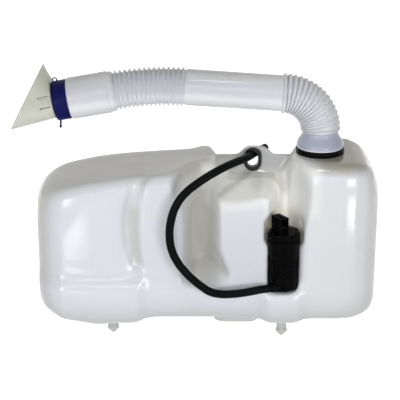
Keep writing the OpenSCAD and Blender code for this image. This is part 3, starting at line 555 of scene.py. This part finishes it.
# Funnel: a round spigot, a wider root set off upwards, and a cone to the slanted oval mouth
funnelLook = {
    "gap": 0.15,
    "flats": 16,
    "reach": 3.2,
    "length": 31.4,
    "plugIn": 14,
    "rootR": 23.5,
    "rootRise": 5,
    "rootRound": 0.7,
    "mouthRise": 10.5,
    "lean": 27.5,
    "half": (42.4, 32),
    "rimRound": 0.5,
    "wall": 1.8,
    "steps": 64,
    "outside": (0.02, 0.15, 0.3, 0.45, 0.6, 0.75, 0.9, 0.985),
    "inside": (0.985, 0.75, 0.5, 0.25),
    "tongue": {"width": 12.6, "length": 11, "shift": 6.4, "slot": 1.2, "start": 0.05,
               "dot": 1.1, "dotSteps": 16},
    "pad": {"size": (8.3, 1.8, 7.2), "at": 0.21, "round": 0.5},
}


# Knives for the slots beside the snap tongue, each with a round hole at its end
def tongueKnives(look, end):
    bm = bmesh.new()
    tongue, deep = look["tongue"], look["half"][1]
    stand = axisFrame(end + look["reach"] + tongue["start"] * look["length"])
    box = Matrix.Diagonal((tongue["slot"] * mm, deep * mm, tongue["length"] * mm, 1))
    for side in (-1, 1):
        x = tongue["shift"] + side * tongue["width"] / 2
        bmesh.ops.create_cube(bm, size=1, matrix=stand @ shifted(x, -deep, tongue["length"] / 2) @ box)
        hole = shifted(x, -deep, tongue["length"]) @ Matrix.Rotation(quarterTurn, 4, "X")
        bmesh.ops.create_cone(bm, cap_ends=True, segments=tongue["dotSteps"], radius1=tongue["dot"] * mm,
                              radius2=tongue["dot"] * mm, depth=deep * mm, matrix=stand @ hole)
    return linkMesh(bm, "tongueKnives")


# Carries a unit circle to its place
def ringAt(middle, up, half):
    across = Vector((0, half, 0)) * mm
    turn = Matrix((up * mm, across, up.cross(across).normalized())).transposed().to_4x4()
    return Matrix.Translation(middle * mm) @ turn


# The rings that the funnel's skin runs through, from its plug's end out to the mouth and back inside
def funnelRings(look, plugR, end):
    start = ahead(tubeAxis(end), look["reach"])
    far = ahead(tubeAxis(end), look["reach"] + look["length"])
    a, lean, wall, rim = math.radians(start[2]), math.radians(look["lean"]), look["wall"], look["rimRound"]
    throatUp = Vector((math.sin(a), 0, -math.cos(a)))
    mouthUp = Vector((math.sin(lean), 0, math.cos(lean)))
    base, mouth = Vector((start[0], 0, start[1])), Vector((far[0], 0, far[1]))

    def plugRing(t, inset):
        return ringAt(base + (mouth - base) * t, throatUp * (plugR - inset), plugR - inset)

    def coneRing(t, inset):
        up = (throatUp * (look["rootR"] - inset)).lerp(mouthUp * (look["half"][0] - inset), t)
        middle = (base + throatUp * look["rootRise"]).lerp(mouth + Vector((0, 0, look["mouthRise"])), t)
        return ringAt(middle, up, between(look["rootR"], look["half"][1], t) - inset)

    plug, floor = -look["plugIn"] / look["length"], wall / look["length"]
    rings = [plugRing(plug, 0), plugRing(0, 0), coneRing(0, look["rootRound"])]
    rings += [coneRing(t, 0) for t in look["outside"]]
    rings += [coneRing(1, rim), coneRing(1, wall - rim)]
    rings += [coneRing(t, wall) for t in (*look["inside"], floor)]
    return rings + [plugRing(floor, wall), plugRing(plug, wall)]


def buildFunnel(look, sizes):
    plugR = (sizes["r"] - sizes["wall"] - tubeLook["wall"]) * math.cos(math.pi / look["flats"]) - look["gap"]
    *_, end = tubeMarks(tubeLook)
    rings = funnelRings(look, plugR, end)
    bm = bmesh.new()
    ring = bmesh.ops.create_circle(bm, segments=look["steps"], radius=1)["verts"]
    bmesh.ops.transform(bm, verts=ring, matrix=rings[0])
    first = edges = bm.edges[:]
    for last, now in zip(rings, rings[1:]):
        grown = bmesh.ops.extrude_edge_only(bm, edges=edges)["geom"]
        verts = [g for g in grown if isinstance(g, bmesh.types.BMVert)]
        edges = [g for g in grown if isinstance(g, bmesh.types.BMEdge)]
        bmesh.ops.transform(bm, verts=verts, matrix=now @ last.inverted())
    bmesh.ops.bridge_loops(bm, edges=first + edges)
    closeUp(bm)
    rough, knives = linkMesh(bm, "funnelRough"), tongueKnives(look, end)
    slots = rough.modifiers.new("slots", "BOOLEAN")
    slots.operation, slots.solver, slots.use_self, slots.object = "DIFFERENCE", "EXACT", True, knives
    bm = takeMesh(rough)
    bpy.data.objects.remove(knives)
    # raised pad on the tongue
    pad, t = look["pad"], look["pad"]["at"]
    flare = math.atan2(look["half"][1] - look["rootR"], look["length"])
    stand = axisFrame(end + look["reach"] + t * look["length"])
    stand = stand @ shifted(look["tongue"]["shift"], -between(look["rootR"], look["half"][1], t), 0)
    box = Matrix.Rotation(flare, 4, "X") @ Matrix.Diagonal((*(s * mm for s in pad["size"]), 1))
    block = bmesh.ops.create_cube(bm, size=1, matrix=stand @ box)["verts"]
    bmesh.ops.bevel(bm, geom=list({e for v in block for e in v.link_edges}), offset=pad["round"] * mm,
                    offset_type="OFFSET", affect="EDGES", segments=2, profile=0.5, material=-1)
    return addPiece(bm, "funnel_cone", "funnel_plastic", "funnel", crease=35)


funnel = buildFunnel(funnelLook, tubeLook["collar"])
print("funnel built:", len(funnel.data.polygons), "faces")


# Rubber and pump pieces: the CAD forms with their moulded edges rounded
def dressNode(node, name, slot, width, flat=0.5, sharp=30, segments=3, crease=42):
    bm = copyNode(node)
    bmesh.ops.dissolve_limit(bm, angle_limit=math.radians(flat), verts=bm.verts, edges=bm.edges)
    rims = [e for e in bm.edges if e.is_manifold and e.calc_face_angle(0) > math.radians(sharp)]
    bmesh.ops.bevel(bm, geom=rims, offset=width * mm, offset_type="OFFSET", affect="EDGES", segments=segments,
                    profile=0.5, material=-1, clamp_overlap=True)
    addPiece(bm, name, slot, node, crease)


edgeWidths = {
    "neck_seal": ("neck_ring", "black_rubber", 0.9),
    "tab_grommet": ("tab_ring", "grey_rubber", 0.8),
    "pump_grommet": ("inlet_ring", "grey_rubber", 0.3),
    "pump_base": ("pump_foot", "pump_plastic", 0.35),
    "pump_body": ("pump_housing", "pump_plastic", 0.2),
    "pump_cap": ("pump_lid", "pump_plastic", 0.3),
}
for nodeName, edgeLook in edgeWidths.items():
    dressNode(nodeName, *edgeLook)
print("rubber and pump pieces dressed:", len(edgeWidths))


# Finishes
class Wire:
    # a socket in a node tree; sums and products of wires add Math nodes
    def __init__(self, tree, socket=None):
        self.tree, self.socket = tree, socket

    def add(self, kind, settings=None, inputs=None, out=0):
        node = self.tree.nodes.new(kind)
        for name, value in (settings or {}).items():
            setattr(node, name, value)
        for name, value in (inputs or {}).items():
            if isinstance(value, Wire):
                self.tree.links.new(value.socket, node.inputs[name])
            else:
                node.inputs[name].default_value = value
        return Wire(self.tree, node.outputs[out] if len(node.outputs) else None)

    def also(self, name):
        return Wire(self.tree, self.socket.node.outputs[name])

    def calc(self, operation, first, second=0.0):
        return self.add("ShaderNodeMath", {"operation": operation}, {0: first, 1: second})

    def __add__(self, other):
        return self.calc("ADD", self, other)

    def __radd__(self, other):
        return self.calc("ADD", other, self)

    def __sub__(self, other):
        return self.calc("SUBTRACT", self, other)

    def __rsub__(self, other):
        return self.calc("SUBTRACT", other, self)

    def __mul__(self, other):
        return self.calc("MULTIPLY", self, other)

    def __abs__(self):
        return self.calc("ABSOLUTE", self)

    def ease(self, low, high):
        return self.add("ShaderNodeMapRange", {"interpolation_type": "SMOOTHSTEP"},
                        {"Value": self, "From Min": low, "From Max": high})

    def blend(self, first, second):
        return self.add("ShaderNodeMix", {"data_type": "RGBA"}, {0: self, 6: first, 7: second}, out=2)

    def noise(self, place, scale, detail, rough=0.55):
        return self.add("ShaderNodeTexNoise", None,
                        {"Vector": place, "Scale": scale, "Detail": detail, "Roughness": rough})

    def bump(self, height, strength, distance, under=None):
        sockets = {"Height": height, "Strength": strength, "Distance": distance}
        if under:
            sockets["Normal"] = under
        return self.add("ShaderNodeBump", None, sockets)


noiseMiddle = 0.5


def rgba(colour):
    return (*colour, 1.0)


def newFinish(name):
    finish = bpy.data.materials.new(name)
    finish.use_nodes = True
    finish.node_tree.nodes.clear()
    wire = Wire(finish.node_tree)
    return finish, wire, wire.add("ShaderNodeTexCoord", out="Object")


def closeFinish(wire, sockets):
    shader = wire.add("ShaderNodeBsdfPrincipled", None, sockets)
    wire.add("ShaderNodeOutputMaterial", None, {"Surface": shader})


# Milky moulded plastic with painted light and shade: cool where it stands proud, the tint of the cool front
# light; warmer and darker near the mould's middle plane, painted shade in the recesses; dust and painted
# shading on top
milkyBasics = {
    "cloudDetail": 4.0, "cloudEdge": (0.3, 0.7), "grainDetail": 2.0, "waveDetail": 1.0,
    "dustAndShadingEven": 0.6, "glowReach": (1.0, 0.9, 0.8), "ior": 1.5,
}


# One painted light-and-shade zone's mask: a rising pair says where it starts and is full along an axis, a
# falling pair is its far side, and front runs forward from the mould's middle plane
def lightAndShadeMask(lightAndShadeZone, axes):
    mask = lightAndShadeZone["share"]
    for axis, value in axes.items():
        for low, high in lightAndShadeZone.get(axis, ()):
            mask = (value.ease(low, high) if low < high else 1 - value.ease(high, low)) * mask
    return mask


def milkyFinish(name, look):
    look = {**milkyBasics, **look}
    finish, wire, place = newFinish(name)
    spot = wire.add("ShaderNodeSeparateXYZ", None, {0: place})
    y = spot.also("Y")
    skin = wire.add("ShaderNodeNewGeometry", out="Normal")
    up = wire.add("ShaderNodeSeparateXYZ", None, {0: skin}, out="Z")
    proud = abs(y).ease(*look["proud"])
    cloud = wire.noise(place, look["cloud"], look["cloudDetail"]).ease(*look["cloudEdge"])
    # painted light and shade: the cool tone where it stands proud is the front light's tint, the darker, warmer
    # tone towards the mould's middle plane is painted shade in the recesses
    base = proud.blend(rgba(look["deep"]), rgba(look["colour"]))
    base = (cloud * look["cloudShare"]).blend(base, rgba(look["cloudColour"]))
    axes = {"x": spot, "y": abs(y), "z": spot.also("Z"), "front": 0 - y}
    for lightAndShadeZone in look["lightAndShadeZones"]:  # painted light and shade by zones: some lighten their part, others darken it
        base = lightAndShadeMask(lightAndShadeZone, axes).blend(base, rgba(lightAndShadeZone["colour"]))
    if "creaseShadeShare" in look:  # painted shade in the hollow folds
        crease = 1 - skin.also("Pointiness").ease(*look["crease"])
        base = (crease * look["creaseShadeShare"]).blend(base, rgba(look["creaseShadeColour"]))
    if "underLightSlope" in look:  # painted light from below: faces turned down are lighter
        base = (1 - up.ease(*look["underLightSlope"])).blend(base, rgba(look["underLightColour"]))
    # dust and painted shading on upward faces: the tank's and funnel's darker tops are painted shade, the
    # tube's lighter top is painted light
    even = look["dustAndShadingEven"]
    dustAndShading = up.ease(*look["dustAndShadingSlope"]) * (even + cloud * (1 - even)) * look["dustAndShadingShare"]
    base = dustAndShading.blend(base, rgba(look["dustAndShadingColour"]))
    grain = wire.noise(place, look["grain"], look["grainDetail"])
    wave = wire.noise(place, look["wave"], look["waveDetail"])
    normal = wire.bump(wave, look["waveStrength"], look["waveDepth"])
    normal = wire.bump(grain, look["grainStrength"], look["grainDepth"], normal)
    closeFinish(wire, {
        "Base Color": base,
        "Roughness": look["rough"] + (grain - noiseMiddle) * look["roughSwing"],
        "Normal": normal,
        "Subsurface Weight": look["sss"],
        "Subsurface Radius": look["glowReach"],
        "Subsurface Scale": look["sssDepth"],
        "IOR": look["ior"],
    })
    return finish


tankFinish = milkyFinish("milky tank plastic", {
    "colour": (0.78, 0.805, 0.87), "deep": (0.62, 0.61, 0.565), "proud": (0.018, 0.064),
    "cloud": 16, "cloudShare": 0.12, "cloudColour": (0.80, 0.81, 0.82),
    "lightAndShadeZones": [
        # the web and its tab: painted shade
        {"x": [(0.114, 0.124), (0.222, 0.206)], "y": [(0.010, 0.003)], "z": [(0.140, 0.165)],
         "share": 0.95, "colour": (0.40, 0.405, 0.405)},
        # the right block's top: painted shade, dark and warm
        {"x": [(0.222, 0.245)], "z": [(0.178, 0.190)], "share": 0.9, "colour": (0.33, 0.30, 0.22)},
        # the shelf over the bulge: painted light
        {"x": [(0.120, 0.136), (0.216, 0.206)], "front": [(0.012, 0.018), (0.060, 0.045)],
         "z": [(0.110, 0.135), (0.180, 0.170)], "share": 0.9, "colour": (0.95, 0.95, 0.91)},
        # left of the shelf: painted light
        {"x": [(0.100, 0.112), (0.140, 0.128)], "front": [(0.0, 0.01)], "z": [(0.125, 0.140), (0.180, 0.170)],
         "share": 0.7, "colour": (0.86, 0.86, 0.85)},
        # the right block's flank: painted light
        {"x": [(0.204, 0.212), (0.242, 0.230)], "front": [(0.0, 0.01)], "z": [(0.125, 0.140), (0.192, 0.182)],
         "share": 0.9, "colour": (0.97, 0.975, 0.97)},
        # the pump's pocket: painted light, warm, lifting the pocket's shade
        {"x": [(0.160, 0.172), (0.232, 0.220)], "front": [(0.0, 0.01), (0.056, 0.046)],
         "z": [(0.02, 0.04), (0.150, 0.125)], "share": 0.85, "colour": (0.86, 0.82, 0.70)},
        # the right block's front: painted light, a less blue tone where the cool light falls less
        {"x": [(0.18, 0.25)], "z": [(0.185, 0.165)], "share": 0.7, "colour": (0.76, 0.77, 0.775)},
        # the bulge's front: painted shade, darker and cooler
        {"x": [(0.105, 0.125), (0.185, 0.170)], "front": [(0.048, 0.058)],
         "z": [(0.040, 0.060), (0.150, 0.135)], "share": 0.6, "colour": (0.62, 0.645, 0.69)},
        # the left block's valley: painted shade along the fold
        {"x": [(0.020, 0.028), (0.041, 0.032)], "front": [(0.03, 0.04)], "z": [(0.064, 0.082), (0.150, 0.135)],
         "share": 0.7, "colour": (0.60, 0.59, 0.585)},
        # the bottom: painted shade, darker towards the underside
        {"z": [(0.045, -0.002)], "share": 0.75, "colour": (0.58, 0.58, 0.57)},
    ],
    "crease": (0.478, 0.498), "creaseShadeShare": 0.4, "creaseShadeColour": (0.52, 0.515, 0.50),
    "dustAndShadingSlope": (0.35, 0.9), "dustAndShadingShare": 0.3, "dustAndShadingColour": (0.56, 0.55, 0.50),
    "grain": 700, "grainStrength": 0.25, "grainDepth": 0.00025,
    "wave": 45, "waveStrength": 0.35, "waveDepth": 0.0012,
    "rough": 0.12, "roughSwing": 0.1, "sss": 0.15, "sssDepth": 0.003,
})
tubeFinish = milkyFinish("milky tube plastic", {
    "colour": (0.65, 0.665, 0.71), "deep": (0.65, 0.665, 0.70), "proud": (0.0, 0.02),
    "cloud": 30, "cloudShare": 0.15, "cloudColour": (0.76, 0.77, 0.80),
    "lightAndShadeZones": [
        # the bell: painted shade, lavender
        {"x": [(0.200, 0.214)], "z": [(0.226, 0.210)], "share": 0.9, "colour": (0.36, 0.40, 0.51)},
    ],
    "crease": (0.40, 0.50), "creaseShadeShare": 0.7, "creaseShadeColour": (0.42, 0.45, 0.57),
    "underLightSlope": (-0.32, 0.06), "underLightColour": (0.86, 0.87, 0.90),
    "dustAndShadingSlope": (0.55, 0.95), "dustAndShadingShare": 0.7, "dustAndShadingColour": (0.88, 0.88, 0.88),
    "grain": 900, "grainStrength": 0.12, "grainDepth": 0.0002,
    "wave": 70, "waveStrength": 0.2, "waveDepth": 0.0006,
    "rough": 0.14, "roughSwing": 0.08, "sss": 0.15, "sssDepth": 0.002,
})
funnelFinish = milkyFinish("waxy funnel plastic", {
    "colour": (0.53, 0.545, 0.46), "deep": (0.51, 0.525, 0.435), "proud": (0.0, 0.03),
    "cloud": 45, "cloudShare": 0.25, "cloudColour": (0.64, 0.64, 0.57),
    "lightAndShadeZones": [
        # the mouth's upper end: painted light
        {"z": [(0.258, 0.285)], "share": 0.9, "colour": (0.64, 0.65, 0.55)},
    ],
    "underLightSlope": (-0.7, 0.1), "underLightColour": (0.78, 0.79, 0.70),
    "dustAndShadingSlope": (0.2, 0.9), "dustAndShadingShare": 0.2, "dustAndShadingColour": (0.50, 0.51, 0.43),
    "grain": 1100, "grainStrength": 0.15, "grainDepth": 0.0002,
    "wave": 90, "waveStrength": 0.15, "waveDepth": 0.0005,
    "rough": 0.42, "roughSwing": 0.15, "sss": 0.12, "sssDepth": 0.002,
})

# Dark mouldings and rubber: a grained skin with dusty, rubbed patches
darkBasics = {
    "dustDetail": 5.0, "dustRough": 0.6, "dustEdge": (0.5, 0.72), "grainDetail": 2.0, "grainDepth": 0.0002,
    "roughSwing": 0.12, "ior": 1.48,
}


def darkFinish(name, look):
    look = {**darkBasics, **look}
    finish, wire, place = newFinish(name)
    dustAndShading = wire.noise(place, look["dustAndShading"], look["dustDetail"], look["dustRough"]).ease(*look["dustEdge"])
    grain = wire.noise(place, look["grain"], look["grainDetail"])
    swing = look["roughSwing"]
    closeFinish(wire, {
        "Base Color": (dustAndShading * look["dustAndShadingShare"]).blend(rgba(look["colour"]), rgba(look["dustAndShadingColour"])),
        "Roughness": look["rough"] + dustAndShading * swing + (grain - noiseMiddle) * swing,
        "Normal": wire.bump(grain, look["grainStrength"], look["grainDepth"]),
        "IOR": look["ior"],
        "Specular IOR Level": look["gloss"],
    })
    return finish


pumpFinish = darkFinish("black pump plastic", {
    "colour": (0.0009, 0.001, 0.0012), "dustAndShading": 120, "dustAndShadingShare": 0.35, "dustAndShadingColour": (0.004, 0.004, 0.0045),
    "grain": 1600, "grainStrength": 0.3, "rough": 0.26, "gloss": 0.03})
rubberFinish = darkFinish("black rubber", {
    "colour": (0.002, 0.0024, 0.0027), "dustAndShading": 160, "dustAndShadingShare": 0.3, "dustAndShadingColour": (0.006, 0.007, 0.008),
    "grain": 1300, "grainStrength": 0.25, "rough": 0.36, "gloss": 0.05})
greyFinish = darkFinish("grey rubber", {
    "colour": (0.009, 0.0095, 0.0105), "dustAndShading": 200, "dustAndShadingShare": 0.4, "dustAndShadingColour": (0.03, 0.03, 0.033),
    "grain": 1500, "grainStrength": 0.2, "rough": 0.34, "gloss": 0.22})
navyFinish = darkFinish("navy plastic", {
    "colour": (0.006, 0.008, 0.088), "dustAndShading": 180, "dustAndShadingShare": 0.3, "dustAndShadingColour": (0.011, 0.014, 0.13),
    "grain": 1200, "grainStrength": 0.2, "rough": 0.34, "gloss": 0.07})

# Metals and small inner parts: brushed or sintered skins
metalBasics = {
    "lines": 900, "detail": 3.0, "edge": (0.25, 0.75), "shade": 0.6, "roughSwing": 0.2,
    "strength": 0.15, "depth": 0.0001,
}
metalLooks = {
    "steel": {"colour": (0.55, 0.56, 0.58), "rough": 0.32, "metallic": 1.0, "streak": (1, 1, 0.1)},
    "ferrite": {"colour": (0.06, 0.06, 0.065), "rough": 0.6, "metallic": 0.0, "streak": (1, 1, 1)},
    "bronze": {"colour": (0.45, 0.3, 0.13), "rough": 0.42, "metallic": 1.0, "streak": (1, 1, 1)},
    "card": {"colour": (0.25, 0.13, 0.05), "rough": 0.6, "metallic": 0.0, "streak": (1, 0.2, 1)},
    "carbon": {"colour": (0.03, 0.028, 0.025), "rough": 0.55, "metallic": 0.0, "streak": (1, 1, 1)},
    # the terminals are darkened as painted shade, the shade inside the pump's socket
    "terminal_brass": {"colour": (0.055, 0.05, 0.04), "rough": 0.55, "metallic": 1.0, "streak": (1, 1, 0.2)},
    "copper": {"colour": (0.5, 0.2, 0.09), "rough": 0.28, "metallic": 1.0, "streak": (1, 1, 8)},
    "impeller_plastic": {"colour": (0.7, 0.7, 0.65), "rough": 0.4, "metallic": 0.0, "streak": (1, 1, 1)},
}


def metalFinish(name, look):
    look = {**metalBasics, **look}
    finish, wire, place = newFinish(name)
    turn = wire.add("ShaderNodeMapping", None, {"Vector": place, "Scale": look["streak"]})
    lines = wire.noise(turn, look["lines"], look["detail"])
    tint = tuple(c * look["shade"] for c in look["colour"])
    closeFinish(wire, {
        "Base Color": lines.ease(*look["edge"]).blend(rgba(tint), rgba(look["colour"])),
        "Roughness": look["rough"] + (lines - noiseMiddle) * look["roughSwing"],
        "Metallic": look["metallic"],
        "Normal": wire.bump(lines, look["strength"], look["depth"]),
    })
    return finish


slotFinish = {slot: metalFinish("fine " + slot.replace("_", " "), look) for slot, look in metalLooks.items()}
slotFinish.update({"tank_plastic": tankFinish, "tube_plastic": tubeFinish, "funnel_plastic": funnelFinish,
                   "navy_plastic": navyFinish, "black_rubber": rubberFinish, "grey_rubber": greyFinish,
                   "pump_plastic": pumpFinish})


def putFinish(piece, finish):
    piece.data.materials.clear()
    piece.data.materials.append(finish)


for row in frame["record"]["subparts"]:
    putFinish(nodes[row["node"]], slotFinish[row["material_slot"]])
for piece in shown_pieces():
    if "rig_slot" in piece:
        putFinish(piece, slotFinish[piece["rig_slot"]])
print("finishes set:", len(slotFinish))

# Floor, world and lamps
stageLook = {
    "floorZ": -0.0355,
    "half": 9.0,
    "floorColour": (0.82, 0.82, 0.82),
    "glow": 0.86,
    "ambient": (0.215, 0.21, 0.197),
    "white": (1, 1, 1),
}


def seenDirect(wire):
    path = wire.add("ShaderNodeLightPath")
    seen = wire.calc("MAXIMUM", path.also("Is Camera Ray"), path.also("Is Glossy Ray"))
    return wire.calc("MAXIMUM", seen, path.also("Is Transmission Ray"))


def buildFloor(look):
    bm = bmesh.new()
    bmesh.ops.create_grid(bm, x_segments=2, y_segments=2, size=look["half"])
    bmesh.ops.translate(bm, verts=bm.verts, vec=(0, 0, look["floorZ"]))
    floor = linkMesh(bm, "floor")
    finish, wire, _ = newFinish("pale floor")
    matt = wire.add("ShaderNodeBsdfDiffuse", None, {"Color": rgba(look["floorColour"])})
    glow = wire.add("ShaderNodeEmission", None,
                    {"Color": rgba(look["white"]), "Strength": seenDirect(wire) * look["glow"]})
    both = wire.add("ShaderNodeAddShader", None, {0: matt, 1: glow})
    wire.add("ShaderNodeOutputMaterial", None, {"Surface": both})
    putFinish(floor, finish)


def buildWorld(look):
    world = bpy.data.worlds.new("studio")
    scene.world = world
    world.use_nodes = True
    world.node_tree.nodes.clear()
    wire = Wire(world.node_tree)
    tone = seenDirect(wire).blend(rgba(look["ambient"]), rgba(look["white"]))
    sky = wire.add("ShaderNodeBackground", None, {"Color": tone, "Strength": 1.0})
    wire.add("ShaderNodeOutputWorld", None, {"Surface": sky})


# A soft lamp isn't mirrored in the gloss; one that lies is a lit card on the floor, seen only in the gloss
lampLooks = {
    "left softbox": {"at": (-0.75, -1.40, 0.30), "size": (0.45, 0.65), "power": 5.6},
    "right softbox": {"at": (0.95, -1.40, 0.30), "size": (0.40, 0.65), "power": 5.8},
    "front strip": {"at": (0.10, -2.0, 0.98), "size": (1.6, 0.22), "power": 4.0},
    "low fill": {"at": (0.10, -1.8, 0.12), "size": (1.8, 0.3), "power": 5.8, "soft": True},
    "left card": {"at": (-0.112, -0.44, -0.03), "size": (0.015, 0.22), "power": 0.12, "lies": 0},
    "right card": {"at": (0.487, -0.465, -0.03), "size": (0.09, 0.13), "power": 0.4, "lies": 31},
    "back left softbox": {"at": (-1.0, 1.3, 0.35), "size": (0.6, 0.7), "power": 7.0, "soft": True},
    "back right softbox": {"at": (1.2, 1.3, 0.35), "size": (0.6, 0.7), "power": 7.0, "soft": True},
}
lampColour = (0.98, 0.99, 1.0)

# Soft spots from above lift the middle of the top and draw glints along the left block's edges
spotLooks = {
    "middle spot": {"at": (0.185, -0.36, 0.95), "aim": (0.180, -0.035, 0.155),
                    "power": 6.5, "cone": 13, "edge": 0.8, "size": 0.06},
    "left spot": {"at": (0.04, -0.42, 0.95), "aim": (0.040, -0.050, 0.150),
                  "power": 2.0, "cone": 18, "edge": 0.8, "size": 0.03},
}


def hangLamp(lamp, look, aim):
    holder = bpy.data.objects.new(lamp.name, lamp)
    holder.location = look["at"]
    holder.rotation_euler = (Vector(aim) - Vector(look["at"])).to_track_quat("-Z", "Y").to_euler()
    scene.collection.objects.link(holder)
    return holder


def placeSpot(name, look):
    lamp = bpy.data.lights.new(name, "SPOT")
    lamp.energy = look["power"]
    lamp.spot_size = math.radians(look["cone"])
    lamp.spot_blend = look["edge"]
    lamp.shadow_soft_size = look["size"]
    hangLamp(lamp, look, look["aim"])


def placeLamp(name, look):
    lamp = bpy.data.lights.new(name, "AREA")
    lamp.shape = "RECTANGLE"
    lamp.size, lamp.size_y = look["size"]
    lamp.energy = look["power"]
    lamp.color = lampColour
    holder = hangLamp(lamp, look, cameraLook["target"])
    if "lies" in look:
        holder.rotation_euler = (math.pi, 0, math.radians(look["lies"]))
    holder.visible_camera = False
    holder.visible_glossy = "soft" not in look
    holder.visible_diffuse = "lies" not in look


buildFloor(stageLook)
buildWorld(stageLook)
for lampName, lampLook in lampLooks.items():
    placeLamp(lampName, lampLook)
for lampName, lampLook in spotLooks.items():
    placeSpot(lampName, lampLook)
print("stage lit by", len(lampLooks) + len(spotLooks), "lamps")
